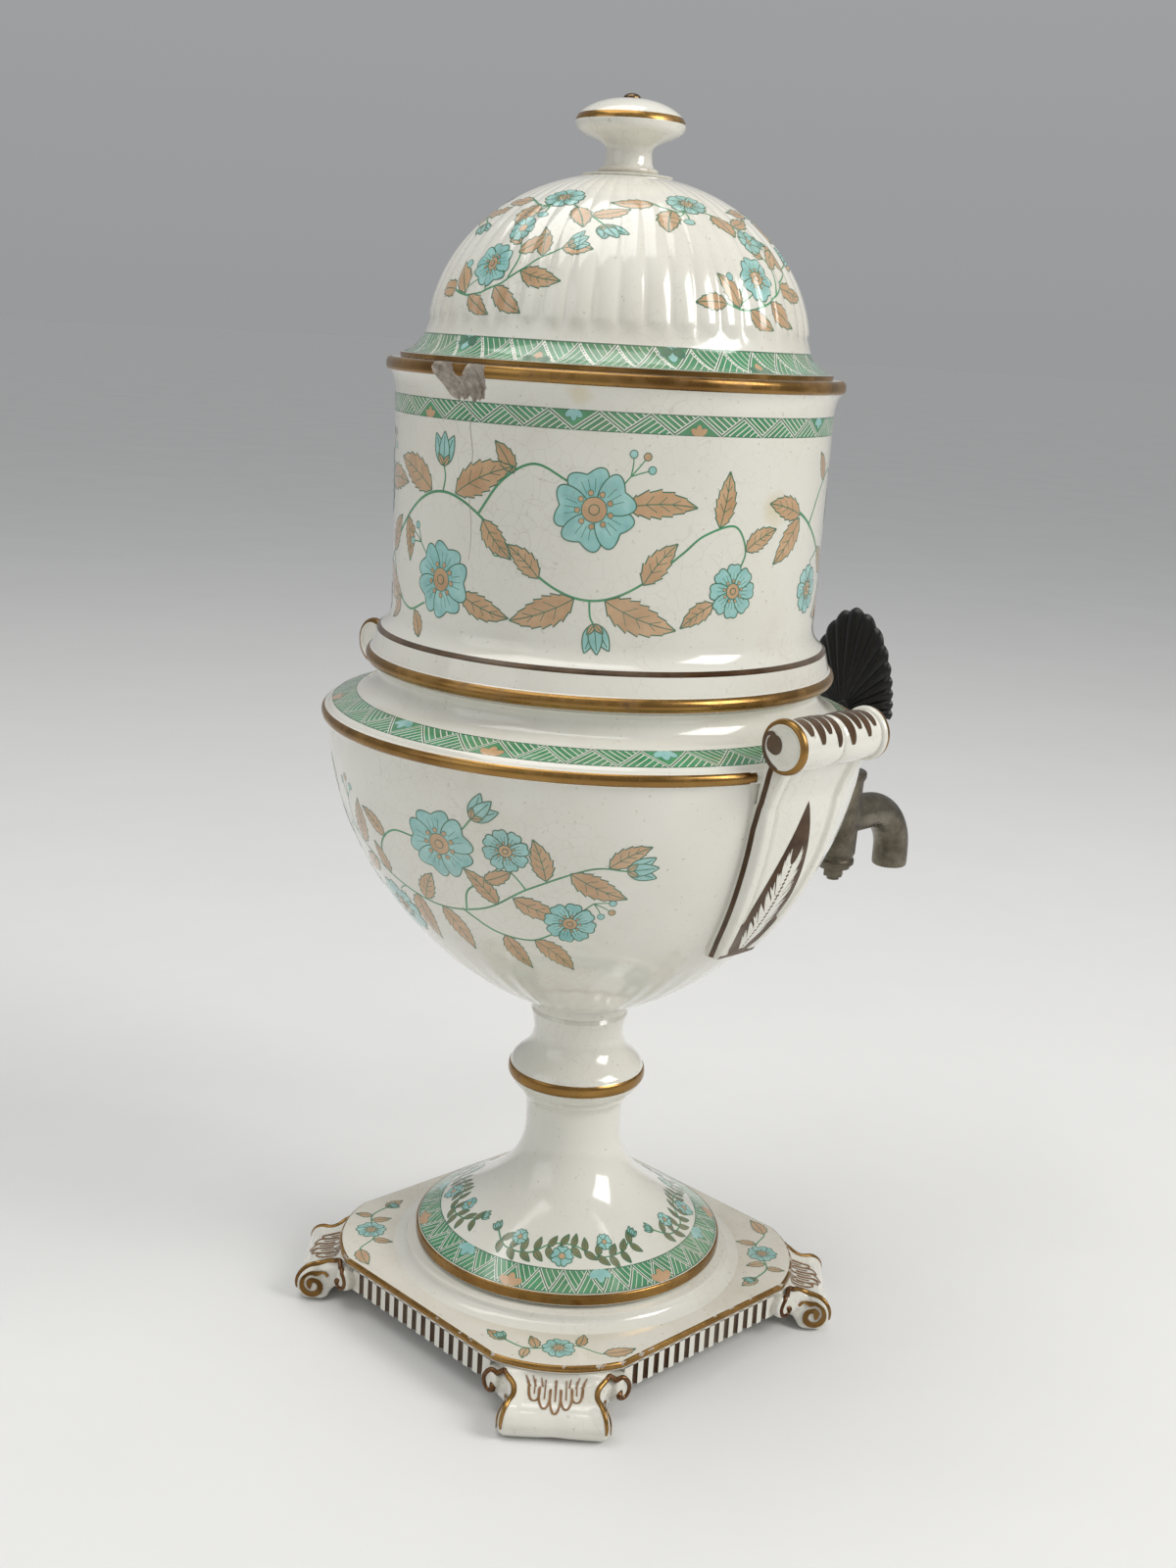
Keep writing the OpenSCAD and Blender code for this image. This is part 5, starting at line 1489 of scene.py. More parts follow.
# %% Strap of a handle
strap_t = 5.0
strap_half = 20.0
strap_tip_half = 9.5
strap_tip_z = bead_z - 71
strap_knee_z = bead_z - 4
strap_fall = strap_knee_z - strap_tip_z
strap_neck_z = bead_z - 10
tuck = 1.4
strap_mid_half = (strap_half + strap_tip_half) / 2
strap_edge = np.array(curve((strap_tip_half, strap_tip_z), (strap_mid_half, strap_tip_z + strap_fall / 5),
                            (strap_half, strap_tip_z + strap_fall / 2), (strap_half, strap_knee_z), 40))
side_r = np.array(bowl_side)
strap_rise = np.linspace(strap_tip_z, strap_neck_z, 48)
strap_back = stack([np.interp(strap_rise, side_r[:, 1], side_r[:, 0]), strap_rise])
strap_line = strap_back + [strap_t, 0]
neck_line = np.array(curve((bowl_r + strap_t - ease, strap_neck_z), (bowl_r + strap_t, bead_z - strap_t),
                           (roll_reach - ease, bead_z), (roll_reach + roll_r / 4, roll_z - roll_r / 2), 16))
neck_back = np.array(curve((bowl_r - 0.2, strap_neck_z), (bowl_r + 0.6, bead_z - 4),
                           (bowl_r + 1.0, bead_z + 5), (roll_reach - 4, roll_z - 3), 16))
face_line = np.vstack([strap_line, neck_line[1:]])
back_line = np.vstack([strap_back, neck_back[1:]])
strap_w = np.interp(face_line[:, 1], strap_edge[:, 1], strap_edge[:, 0])
print("strap", round(strap_fall, 1), "mm from knee to tip")


# %% Section of the strap
def border(edge):
    """Height of the strap's face at a distance from its edge: a rounded rim, a groove and a shallow panel."""
    rim = -1.0 * unit((1.2 - edge) / 1.2) ** 2
    groove = -1.4 * np.exp(-((edge - 5.2) / 0.9) ** 2)
    panel = -0.8 * unit((edge - 5.0) / 1.5) + 0.5 * unit((edge - 8) / 8)
    return rim + groove + panel


face_share = np.concatenate([np.linspace(-1, -0.62, 18), np.linspace(-0.58, 0.58, 24),
                             np.linspace(0.62, 1, 18)])
loops = []
for (reach, height), (back, back_z), width in zip(face_line, back_line, strap_w):
    across = face_share * width
    fade = unit((height - strap_tip_z) / 6)
    lift = border(width - np.abs(across)) * fade
    on_bowl = height < strap_neck_z + 0.1
    curl_in = np.where(on_bowl, reach - np.sqrt(np.maximum(reach ** 2 - across ** 2, 0)), 0.0) * 0.55
    front = stack([across, -(reach + lift - curl_in), np.full(len(across), height)])
    edge_y = tuck - (math.sqrt(max(back ** 2 - width ** 2, 0)) if on_bowl else back)
    low = np.array([[width, edge_y, back_z], [0, tuck - back, back_z], [-width, edge_y, back_z]])
    loops.append(np.vstack([front, low]))
strap = loft("strap", np.array(loops))
use(strap, 'BEVEL', width=0.35 * mm, segments=2, limit_method='ANGLE', angle_limit=math.radians(50))
one_finish(strap, "ivory")
handle_cast = join([roll, strap], "handle_cast")
print("handle", len(handle_cast.data.polygons), "faces")

# %% [markdown]
# ### Paint of a handle
#
# The strap has a brown panel with a white feather and brown lines along its sides. The roll has brown
# tongues and a comma on each end. They could be faces of the strap itself, but as drawings they need no
# cuts in its mesh.

# %% Tip line and leaf of a strap
handle_lines = Drawing()
face_s = way_along(face_line)
paint_t = 0.08


def on_strap(u, v, lift):
    """Takes u, across, and v, the way up from the tip, to the strap's face."""
    reach = np.interp(v, face_s, face_line[:, 0])
    height = np.interp(v, face_s, face_line[:, 1])
    return stack([u, -(reach + lift), height])


tip_end = strap_tip_half - 0.4
handle_lines.stroke([(-tip_end, 0.9), (0, 0.9), (tip_end, 0.9)], 1.6, "brown", 0.0, 2)
leaf_low, leaf_high = 1.6, 68.0
leaf_wide = 9.4
t = np.linspace(0, 1, 52)
leaf_half = leaf_wide * np.sin(math.pi * (0.1 + 0.9 * t) ** 0.82) ** 0.9 + 0.02
leaf_v = leaf_low + (leaf_high - leaf_low) * t
leaf_half = np.minimum(leaf_half, np.interp(leaf_v, face_s, strap_w) - 3.4)
leaf_left, leaf_right = stack([-leaf_half, leaf_v]), stack([leaf_half, leaf_v])
handle_lines.strip(leaf_left, leaf_right, "brown", 0.0, 8)
print("leaf", len(handle_lines.faces), "faces")

# %% Lines along the sides of a strap
side_lines = Drawing(1.2)
hug = unit((strap_neck_z + 8 - back_line[:, 1]) / 16)
round_back = np.sqrt(np.maximum(back_line[:, 0] ** 2 - strap_w ** 2, 0))
back_at = back_line[:, 0] + hug * (round_back - back_line[:, 0])
side_way = np.linspace(0.4, face_s[-1] - 4.0, 80)
side_mid = np.interp(side_way, [0, 10, 40, face_s[-1]], [2.6, 1.9, 1.6, 1.5])
side_lines.stroke(stack([side_mid, side_way]), 2.1, "brown", 0.0, 3)
print("side line", len(side_lines.faces), "faces")


def on_strap_side(side):
    """A rule for a strap's side face: u is the way out from the bowl, v the way up from the tip."""
    def place(u, v, lift):
        out = np.interp(v, face_s, back_at) + u
        height = np.interp(v, face_s, back_line[:, 1])
        return stack([side * (np.interp(v, face_s, strap_w) + 0.2), -out, height])

    return place


# %% Feather on the leaf
feather = Drawing()
barbs = 24
for side in (1, -1):
    for k in range(barbs):
        root_v = leaf_low + 2.5 + 41.0 * k / barbs
        q = np.linspace(0, 1, 8)
        reach_v = root_v + (8.0 + 2.0 * math.sin(2.4 * k)) * q
        room = np.interp(reach_v, leaf_v, leaf_half) - 2.4
        reach_u = 0.5 + np.maximum(room - 0.5, 0.1) * (0.86 + 0.14 * math.sin(3.1 * k)) * q ** 0.85
        feather.stroke(stack([side * reach_u, reach_v]), 1.25 * (1 - q ** 2) + 0.12, "ivory", 0.0)
print("feather", len(feather.faces), "faces")


# %% Strokes over the roll
def on_roll(u, v, lift):
    """Takes u, along the roll, and v, an angle in degrees from straight up towards the front, to the roll."""
    radius = lobe_r + lift
    a = np.radians(v)
    return stack([u, -(roll_reach + radius * np.sin(a)), roll_z + radius * np.cos(a)])


roll_lines = Drawing()
for side in (1, -1):
    for along, tip in ((3.0, 92), (7.2, 60), (11.4, 80), (15.6, 58)):
        q = np.linspace(0, 1, 16)
        a = -48 + (tip + 48) * q
        wide = 3.3 * np.sqrt(unit(np.sin(math.pi * (0.06 + 0.90 * q ** 1.5)))) + 0.15
        middle = side * (along + 0.9 * (q - 0.5))
        edges = [stack([middle + way * wide / 2, a]) for way in (-1, 1)]
        roll_lines.strip(*edges, "brown", 0.0, 3)
print("strokes", len(roll_lines.faces), "faces")


# %% Eyes on the ends of the roll
def on_roll_end(side):
    """A rule for one end of the roll: u and v are a flat place round its axis."""
    def place(u, v, lift):
        return stack([side * (roll_half + lift), -roll_reach + u, roll_z + v])

    return place


end_lines = Drawing(1.0)
tail = smooth_path([(3.6, 1.2), (4.4, 3.4), (6.6, 3.2), (7.5, 0.6), (7.0, -3.0), (4.6, -6.0),
                    (1.2, -7.4)], 40)
tail_w = np.interp(np.linspace(0, 1, 40), [0, 0.2, 0.45, 0.8, 1.0], [2.4, 1.5, 1.1, 1.7, 0.6])
end_lines.stroke(tail, tail_w, "brown", 0.0, 2)
a = np.radians(np.linspace(-90, 90, 13))
head = stack([3.1 * np.cos(a), 3.3 * np.sin(a)])
head_at = [3.3, 0.2]
end_lines.strip(head * [-1, 1] + head_at, head + head_at, "brown", 0.01, 4)

print("eye", len(end_lines.faces), "faces")

# %% Both handles, painted
coats = []
for name, art, place, thick in (
        ("strap_paint", handle_lines, on_strap, paint_t),
        ("strap_side_1", side_lines, on_strap_side(1), paint_t),
        ("strap_side_2", side_lines, on_strap_side(-1), paint_t),
        ("strap_feather", feather, on_strap, 2 * paint_t),
        ("roll_paint", roll_lines, on_roll, paint_t),
        ("roll_end", end_lines, on_roll_end(1), paint_t),
        ("roll_far_end", end_lines, on_roll_end(-1), paint_t)):
    coats.append(lay(name, art, place, "urn", "ivory_glaze", handle_cast, thick))
handle_right = join([handle_cast] + coats, "handle_near")
handle_left = turn_copy(handle_right, "handle_far", math.pi)
dress(handle_right, "urn", "ivory_glaze", "handle_right")
dress(handle_left, "urn", "ivory_glaze", "handle_left")

# %% [markdown]
# ## Tap
#
# A cast tap of dull white metal: a shank through the bowl's boss, a flange, a tapered barrel with a collar
# at the top and a ring at the bottom, and a bent spout. The lumps are turned or lofted and then fused, so
# that they meet in soft hollows as a casting's parts do. A Boolean union would leave hard creases there.

# %% Shank and flange of the tap
tap_reach = (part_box("plug_nut")[LOW].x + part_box("plug_nut")[HIGH].x) / 2 / mm
flange_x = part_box("tap_outer_washer")[HIGH].x / mm
shank_in_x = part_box("tap_body")[LOW].x / mm
flange_r, flange_t = 14.0, 3.4
shank_l = tap_reach - shank_in_x
to_flange = flange_x - shank_in_x
past_flange = to_flange + flange_t
shank_bore_r, shank_bore_l = 4, 22
shank = turned("shank", [("pewter", [
    (0, shank_bore_l), (shank_bore_r, shank_bore_l), (shank_bore_r, 0), (shank_r - 0.6, 0), (shank_r, 0.6),
    (shank_r, to_flange),
    (flange_r - 0.5, to_flange), (flange_r, to_flange + 0.6), (flange_r, past_flange - 0.8),
    (flange_r - 1, past_flange)] +
    curve((flange_r - 2, past_flange), (10.2, past_flange + 1), (shank_r, to_flange + 7),
          (shank_r, to_flange + 13), 10) + [(shank_r - 0.4, shank_l), (0, shank_l)])], 64)
set_down(shank, (shank_in_x, 0, tap_z), along_x)

# %% Barrel of the tap
tap_low_z = tap_z - 21
tap_top_z = tap_z + 21
barrel_top_r, barrel_low_r = 9.8, 7.6
barrel_foot = raised(tap_low_z, (0, 0), (barrel_low_r + 0.4, 0), (barrel_low_r + 0.8, 0.5),
                     (barrel_low_r + 0.8, 2.4), (barrel_low_r + 0.1, 3.2), (barrel_low_r + 0.1, 4),
                     (barrel_low_r + 0.9, 5))
barrel_head = raised(tap_top_z, (barrel_top_r - 0.4, -8), (barrel_top_r - 0.2, -4),
                     (barrel_top_r + 0.6, -3.2), (barrel_top_r + 0.8, -2.6), (barrel_top_r + 0.8, -0.6),
                     (barrel_top_r + 0.3, 0), (0, 0))
barrel = turned("barrel", [("pewter", barrel_foot + barrel_head)], 64)
on_plug_axis = (tap_reach, 0, 0)
set_down(barrel, on_plug_axis)

# %% Spout of the tap
spout_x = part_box("tap_body")[HIGH].x / mm
outlet_z = level("tap_body", LOW)
spout_r, outlet_r = 7.8, 5.4
bend_r = 20.0
bend_x = spout_x - spout_r - bend_r
bend_z = tap_z - bend_r
spout_path = [(tap_reach + s, tap_z) for s in np.linspace(0, bend_x - tap_reach, 6)]
spout_path += arc((bend_x, bend_z), bend_r, 90, 0, 24)[1:]
spout_path += [(bend_x + bend_r, z) for z in np.linspace(bend_z, outlet_z, 6)][1:]
spout_path = np.array(spout_path)
spout_way = np.gradient(spout_path, axis=0)
spout_way /= np.hypot(spout_way[:, 0], spout_way[:, 1])[:, None]
ring = np.linspace(0, 2 * math.pi, 40, endpoint=False)


def spout_loop(k, radius):
    """A ring of points round the spout's path."""
    (x, z), (wx, wz) = spout_path[k], spout_way[k]
    out = radius * np.cos(ring)
    return stack([x - wz * out, radius * np.sin(ring), z + wx * out])


last = len(spout_path) - 1
outer = [spout_loop(k, spout_r + 0.5 * max(0, 1 - k / 6) - 0.25 * (k == last)) for k in range(last + 1)]
inner = [spout_loop(k, outlet_r) for k in range(last, last - 14, -1)]
spout = loft("spout", np.array(outer + inner))
print("spout", len(spout.data.polygons), "faces")

# %% Casting and reaming the tap
tap = join([barrel, shank, spout], "tap_casting")
cast(tap, 0.58, 4)
bore_low_r, bore_top_r = 5.0, 6.9
reamer = turned("reamer", [("pewter", [(0, tap_low_z - 1), (bore_low_r, tap_low_z - 1),
                                       (bore_top_r, tap_top_z + 1), (0, tap_top_z + 1)])], 48)
set_down(reamer, on_plug_axis)
carve(tap, reamer, 'DIFFERENCE')
one_finish(tap, "pewter")
dress(tap, "urn", "tap_metal", "tap_body")

# %% Plug nut
nut_low, nut_high = level("plug_nut", LOW), level("plug_nut", HIGH)
nut_r = (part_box("plug_nut")[HIGH].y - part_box("plug_nut")[LOW].y) / 2 / mm
bpy.ops.object.select_all(action='DESELECT')
bpy.ops.mesh.primitive_cylinder_add(vertices=6, radius=nut_r * mm, depth=(nut_high - nut_low) * mm,
                                    location=(tap_reach * mm, 0, (nut_low + nut_high) / 2 * mm))
plug_nut = bpy.context.object
plug_nut.name = plug_nut.data.name = "plug_nut_cap"
bpy.ops.object.transform_apply(location=True, rotation=True, scale=True)
use(plug_nut, 'BEVEL', width=0.45 * mm, segments=3, limit_method='ANGLE', angle_limit=math.radians(30))
one_finish(plug_nut, "pewter")
dress(plug_nut, "tap_key", "tap_metal", "plug_nut")

# %% [markdown]
# ## Shell handle
#
# The plug is turned by a black scallop shell, a fan of rounded ribs on a waisted neck. Two sheets, front
# and back, meet at the edge of the fan. Each rib is a rise and fall across the sheet, so the edge is
# scalloped too. Copies of one rib would also make a fan, but they would overlap at their roots.

# %% Shell handle
shell_h, shell_half_w = 43.6, 22.8
shell_ribs = 17
shell_edge_t = 6.4
neck_low_z = level("shell_handle", LOW)
shell_z = neck_low_z + 26
fan_a = math.radians(91)
shell_dome = 4.2
fan_root = 3.5
columns = shell_ribs * 10 + 1
rows = 36
j = np.linspace(0, 1, columns)[None, :]
s = (np.linspace(0, 1, rows)[:, None]) ** 0.8
angle = -fan_a + 2 * fan_a * j
rib = np.abs(np.sin(math.pi * shell_ribs * j))
reach = 1 / np.sqrt((np.cos(angle) / shell_h) ** 2 + (np.sin(angle) / shell_half_w) ** 2)
out = fan_root + (reach * (0.966 + 0.034 * rib) - fan_root) * s
swell = (0.34 + 0.5 * s) * np.sqrt(unit(1 - unit(5 * s - 4) ** 2))
swell = swell * np.sqrt(unit(1 - (1 - unit(np.minimum(j, 1 - j) * 40)) ** 2))
half_t = shell_edge_t / 2 * swell * (0.62 + 0.38 * rib)
half_t = np.where(s * np.ones_like(j) == 0, 0, half_t)
halves = []
for side in (1, -1):
    dome_x = tap_reach - shell_dome * (1 - s ** 1.6) + 0 * j
    fan = np.dstack([dome_x + side * half_t, out * np.sin(angle), shell_z + out * np.cos(angle)])
    halves.append(sheet("fan", fan))
shell = join(halves, "shell_fan")
start_edit()
close_up()
end_edit()
neck_w = 7.0
neck_side = curve(*raised(neck_low_z, (neck_w, ease), (5.4, 6.5), (5.4, 15.6), (neck_w, 24.4)), 14)
neck_side += curve(*raised(neck_low_z, (neck_w, 24.4), (7.4, 28.6), (4.2, 33), (0, 33)), 12)[1:]
shell_neck = turned("shell_neck", [("ebony", [(0, neck_low_z), (neck_w - ease, neck_low_z)] + neck_side)], 64)
set_down(shell_neck, on_plug_axis)
shell = join([shell, shell_neck], "scallop_handle")
one_finish(shell, "ebony")
dress(shell, "tap_key", "ebonised", "shell_handle")

# %% [markdown]
# ## Printed bands
#
# Four green bands run round the urn: on the lid, under the vessel's rim, on the bowl's shoulder and on the
# pedestal. Each holds a white zigzag with hatched triangles and, here and there, half a rosette. The bands'
# ground is part of the turned skins. The white lines are drawn flat once and laid round each band. A
# pattern in the material could stripe them too, but it wouldn't follow the slope of each band.

# %% Laying a drawing on a turned skin
def on_turned(line, centre, ref_r, from_z=None, push=None):
    """A rule that takes u, the way round at a radius, and v, the way up a turned line, to its skin."""
    line = np.array(line)
    way = way_along(line)
    slope = np.gradient(line, way, axis=0)
    start = 0.0 if from_z is None else np.interp(from_z, line[:, 1], way)

    def place(u, v, lift):
        v = v + start
        r, z = np.interp(v, way, line[:, 0]), np.interp(v, way, line[:, 1])
        out_r, out_z = np.interp(v, way, slope[:, 1]), -np.interp(v, way, slope[:, 0])
        size = np.hypot(out_r, out_z)
        angle = math.radians(centre) + u / ref_r
        if push:
            r = r + push(angle, r, z)
        r = r + lift * out_r / size
        return stack([r * np.cos(angle), r * np.sin(angle), z + lift * out_z / size])

    return place


# %% Prints and their copies
print_t = 0.03


def numbered(name, count):
    return [f"{name}_{k + 1}" for k in range(count)]


def print_on(place, art, body, *names):
    """Lays a print on the glaze, and a copy of it for each further name at even turns round the axis."""
    first = lay(names[0], art, place, body, "ivory_glaze", None, print_t)
    for k, name in enumerate(names[1:], 1):
        dress(turn_copy(first, name, 2 * math.pi * k / len(names)), body, "ivory_glaze")


# %% Hatched bands
edge_lift, hatch_lift, leg_lift, vein_lift = 0.03, 0.033, 0.037, 0.042
petal_rim_lift, petal_lift = 0.045, 0.055
hatch_pitch = 2.6


def rosette(art, middle, floor_v, up, size, finish):
    """Half a small flower that grows from a band's edge: three petals."""
    for a in (35, 90, 145):
        way = np.array([math.cos(math.radians(a)), up * math.sin(math.radians(a))])
        q = np.linspace(0, 1, 9)
        spine = np.array([middle, floor_v]) + size * q[:, None] * way
        wide = 0.62 * size * np.sqrt(unit(np.sin(math.pi * (0.06 + 0.92 * q))))
        art.stroke(spine, wide + 0.35, "leaf_line", petal_rim_lift)
        art.stroke(spine, wide, finish, petal_lift, 2)


def hatched_band(name, line, count, body, fine=0.35):
    """White lines on a green band that is given by its turned line."""
    ref_r = sum(p[0] for p in line) / len(line)
    art = Drawing(1.2)
    wide = 2 * math.pi * ref_r / count
    high = way_along(line)[-1]
    low, top = 0.05 * high, 0.95 * high
    round_u = np.linspace(0, 2 * math.pi * ref_r, 2 * count + 1)
    for v in (0.025 * high, 0.975 * high):
        art.stroke(stack([round_u, np.full(len(round_u), v)]), 0.05 * high, "leaf_line", edge_lift)
    lines = max(4, round(wide / hatch_pitch))
    for k in range(count):
        left, middle, right = k * wide, (k + 0.5) * wide, (k + 1) * wide
        zig = np.array([[left, low], [middle, top], [right, low]])
        for leg in (zig[:2], zig[1:]):
            art.stroke(leg, 1.15, "white_line", leg_lift)
            art.stroke(leg, 0.5, "leaf_line", vein_lift)
        for turn, flower, up, corner, heart in ((2, "tan", 1, 0, middle), (5, "turquoise", -1, 1, right)):
            if k % 6 == turn:
                rosette(art, heart, zig[corner][1], up, 0.5 * high, flower)
                continue
            leg = zig[corner + 1] - zig[corner]
            for s in np.arange(1, lines) / lines:
                start = zig[corner] + [s * wide, 0]
                art.stroke([start, start + (1 - s) * leg], fine, "white_line", hatch_lift)
    print_on(on_turned(line, 0, ref_r), art, body, name)


hatched_band("lid_band_lines", sweep_band, 36, "lid", 0.28)
hatched_band("vessel_band_lines", side_band, 30, "vessel")
hatched_band("shoulder_lines", shoulder_band, 36, "urn")
hatched_band("cone_band_lines", flare_band, 36, "urn", 0.26)

# %% [markdown]
# ## Printed sprays
#
# The pottery carries outlined flowers in turquoise, toothed leaves in tan and thin green stems. The design
# here is a plain one of dog roses, daisies, bell flowers and berries on a waving stem, in the scale and
# colours of such prints. Each motif is a strip of faces with an outline, and a later motif lies a hair
# above an earlier one. A picture of a print would be quicker to lay on, but it blurs close up.

# %% Stems and leaves
stem_layer, leaf_layer = 0.030, 0.036
layer_step = 0.005


class Foliage(Drawing):
    """Stems and leaves in one size, each laid a little above the last."""

    def __init__(self, grain, size=1.0):
        super().__init__(grain)
        self.size = size
        self.lift = stem_layer
        self.leaf_count = 0

    def rise(self):
        self.lift += layer_step
        return self.lift

    def set_out(self, spots, root, turn):
        """Turns spots about the origin and moves them to a root."""
        c, s = math.cos(math.radians(turn)), math.sin(math.radians(turn))
        return (np.asarray(spots) @ np.array([[c, s], [-s, c]]) + np.asarray(root)) * self.size

    def stem(self, points, width=0.9, end=0.4):
        path = flow(points) * self.size
        self.stroke(path, np.linspace(width, end, len(path)), "green", stem_layer)

    def shape(self, left, right, finish, rim=0.42):
        self.strip(left, right, finish, self.rise(), None)
        lift = self.rise()
        for side in (left, right):
            self.stroke(side, rim, "leaf_line", lift)

    def leaf(self, *shape):
        """A leaf on the layer of the leaves; neighbours take turns at three heights."""
        self.leaf_count += 1
        self.lift = leaf_layer + layer_step * (self.leaf_count % 3)
        self.blade(*shape)

    def leaves(self, *shapes):
        for shape in shapes:
            self.leaf(*shape)

    def blade(self, root, turn, length, width, bend=0.0, teeth=6, finish="tan"):
        """A pointed leaf; its teeth lean towards its tip."""
        if teeth:
            t = np.ravel([[k / teeth, (k + 0.98) / teeth] for k in range(teeth)] + [[0.985, 1.0]])
            saw = np.ravel([[0.92, 1.14]] * teeth + [[0.9, 0.9]])
        else:
            t = np.linspace(0, 1, 15)
            saw = 1.0
        half = width / 2 * np.sin(math.pi * unit(t) ** 0.8) ** 0.85 * saw
        half[[0, -1]] = 0.02
        spine = stack([length * t, bend * length * t ** 2])
        side = stack([-2 * bend * t, np.ones(len(t))])
        side /= np.hypot(side[:, 0], side[:, 1])[:, None]
        left, right = spine + side * half[:, None], spine - side * half[:, None]
        self.shape(self.set_out(left, root, turn), self.set_out(right, root, turn), finish)
        lift = self.rise()
        self.stroke(self.set_out(spine[:-2], root, turn), 0.34, "leaf_line", lift)
        for share in (0.28, 0.46, 0.64) if length > 13 else ():
            start = np.array([length * share, bend * length * share ** 2])
            reach = 0.62 * np.interp(share + 0.14, t, half)
            for way in (1, -1):
                vein = np.array([start, start + [0.13 * length, way * reach + 0.3 * bend * length * share]])
                self.stroke(self.set_out(vein, root, turn), 0.24, "leaf_line", lift)


# %% Flowers, berries and tendrils
flower_layer = 0.066


class Spray(Foliage):
    """Foliage with flowers, berries and tendrils."""

    def disc(self, centre, radius, finish, rim=0.3):
        a = np.radians(np.linspace(-90, 90, 11))
        right = stack([radius * np.cos(a), radius * np.sin(a)])
        self.shape(self.set_out(right * [-1, 1], centre, 0), self.set_out(right, centre, 0), finish, rim)

    def petal(self, centre, turn, length, width, notch, finish):
        left = np.array(curve((0.1 * length, 0), (0.2 * length, 0.6 * width), (1.25 * length, 0.95 * width),
                              ((1 - notch) * length, 0), 16))
        spine = stack([np.linspace(0.1, 1 - notch, 17) * length, np.zeros(17)])
        lift = self.rise()
        edges = [self.set_out(line, centre, turn) for line in (left, spine, left * [1, -1])]
        self.strip(edges[0], edges[1], finish, lift, None)
        self.strip(edges[1], edges[2], finish, lift, None)
        lift = self.rise()
        for edge in (edges[0], edges[2]):
            self.stroke(edge, 0.4, "leaf_line", lift)
        for lean in (-14, 0, 14) if length > 5 else ():
            vein = np.array([[0.42 * length, 0], [0.72 * length, 0]])
            self.stroke(self.set_out(vein, centre, turn + lean), 0.2, "leaf_line", lift)

    def rose(self, centre, radius, turn=90, petals=5, notch=0.17, finish="turquoise"):
        """An open flower with a tan heart and a ring of stamens."""
        wide = 1.42 * radius * math.sin(math.pi / petals)
        self.lift = flower_layer
        for k in range(petals):
            self.petal(centre, turn + 360 * k / petals, radius, wide, notch, finish)
        self.disc(centre, 0.30 * radius, "tan")
        if radius > 5:
            for k in range(9):
                a = math.radians(turn + 40 * k)
                at = np.array(centre) + 0.40 * radius * np.array([math.cos(a), math.sin(a)])
                self.disc(at, 0.065 * radius, "tan", 0.2)
            self.disc(centre, 0.12 * radius, "tan", 0.3)

    def daisy(self, centre, radius, turn=90, petals=8):
        self.rose(centre, radius, turn, petals, 0.0)

    def bell(self, root, turn, length):
        """A bell flower from the side, with two small sepals."""
        self.lift = flower_layer
        for lean in (-24, 24, 0):
            self.blade(root, turn + lean, length, 0.46 * length, 0, 0, "turquoise")
        for lean in (-38, 38):
            self.blade(root, turn + lean, 0.42 * length, 0.2 * length, 0, 0, "tan")

    def berries(self, root, turn, reach, count=3):
        """Round berries on short stalks."""
        self.lift = leaf_layer
        for k in range(count):
            a = math.radians(turn + 34 * (k - (count - 1) / 2))
            at = np.array(root) + reach * np.array([math.cos(a), math.sin(a)]) * (1 + 0.15 * (k % 2))
            self.stem([root, (np.array(root) + at) / 2 + [0.3, 0.2], at], 0.45, 0.35)
            self.disc(at, 1.25, "tan" if k % 2 else "turquoise", 0.3)

    def tendril(self, root, turn, reach, hand=1):
        """A thin stem that winds up at its end."""
        t = np.linspace(0, 1, 26)
        wind = np.cumsum(np.where(t < 0.35, 1.5, 19.0) * hand)
        step = np.where(t < 0.35, 1.0, 1.0 - 0.75 * t) * reach / 15
        wind = np.radians(wind)
        path = np.cumsum(stack([step * np.cos(wind), step * np.sin(wind)]), axis=0)
        path = self.set_out(np.vstack([[0, 0], path]), root, turn)
        self.stroke(path, np.linspace(0.6, 0.3, len(path)), "green", stem_layer)


# %% [markdown]
# ### Garland, bouquet and sprigs
#
# The vessel has a garland in front and at its back, the bowl a bouquet and two posies beside the tap, and
# lid, pedestal and plinth have small sprigs all round. Each is drawn once and the copies are turned. A
# particle system could scatter motifs, but a printer placed them with care. A hairline crack below the
# flake is drawn likewise.

# %% Garland of the brewing vessel
def wave(u):
    """The garland's waving stem."""
    return 36 + 15 * math.cos(2 * math.pi * u / 112)


garland = Spray(1.5)
garland.stem([(u, wave(u)) for u in range(-110, 97, 7)] + [(104, 46), (109, 38), (106, 30)], 1.1, 0.7)
for bay in (-56, 56):
    garland.stem([(bay - 40, wave(bay - 40)), (bay - 31, 57), (bay - 20, 63), (bay - 8, 58)], 0.9, 0.7)
    garland.leaves(((bay - 27, 59.5), 118, 12, 5.5, 0.15, 5), ((bay - 5, 21.3), 214, 23, 9.5, -0.2, 7),
                   ((bay + 5, 21.3), -33, 25, 10, 0.22, 7))
    garland.stem([(bay, 21), (bay + 0.5, 16), (bay + 2, 13)], 0.7, 0.6)
    garland.bell((bay + 2, 13.5), -82, 10)
    garland.leaves(((bay + 17, 26.8), 62, 17, 7.5, -0.18, 6), ((bay - 17, 26.8), 128, 15, 6.5, 0.2, 6))
    garland.rose((bay, 50), 13.5, 90 + bay / 4)
    garland.leaf((bay + 10, 51.2), 14, 23, 8.5, -0.22, 6)
    garland.stem([(bay + 6, 55), (bay + 9, 58.5), (bay + 11, 61)], 0.5, 0.4)
    garland.berries((bay + 11, 61), 52, 7)
garland.stem([(-40, wave(-40)), (-32, 15), (-20, 9.5), (-9, 13)], 0.9, 0.7)
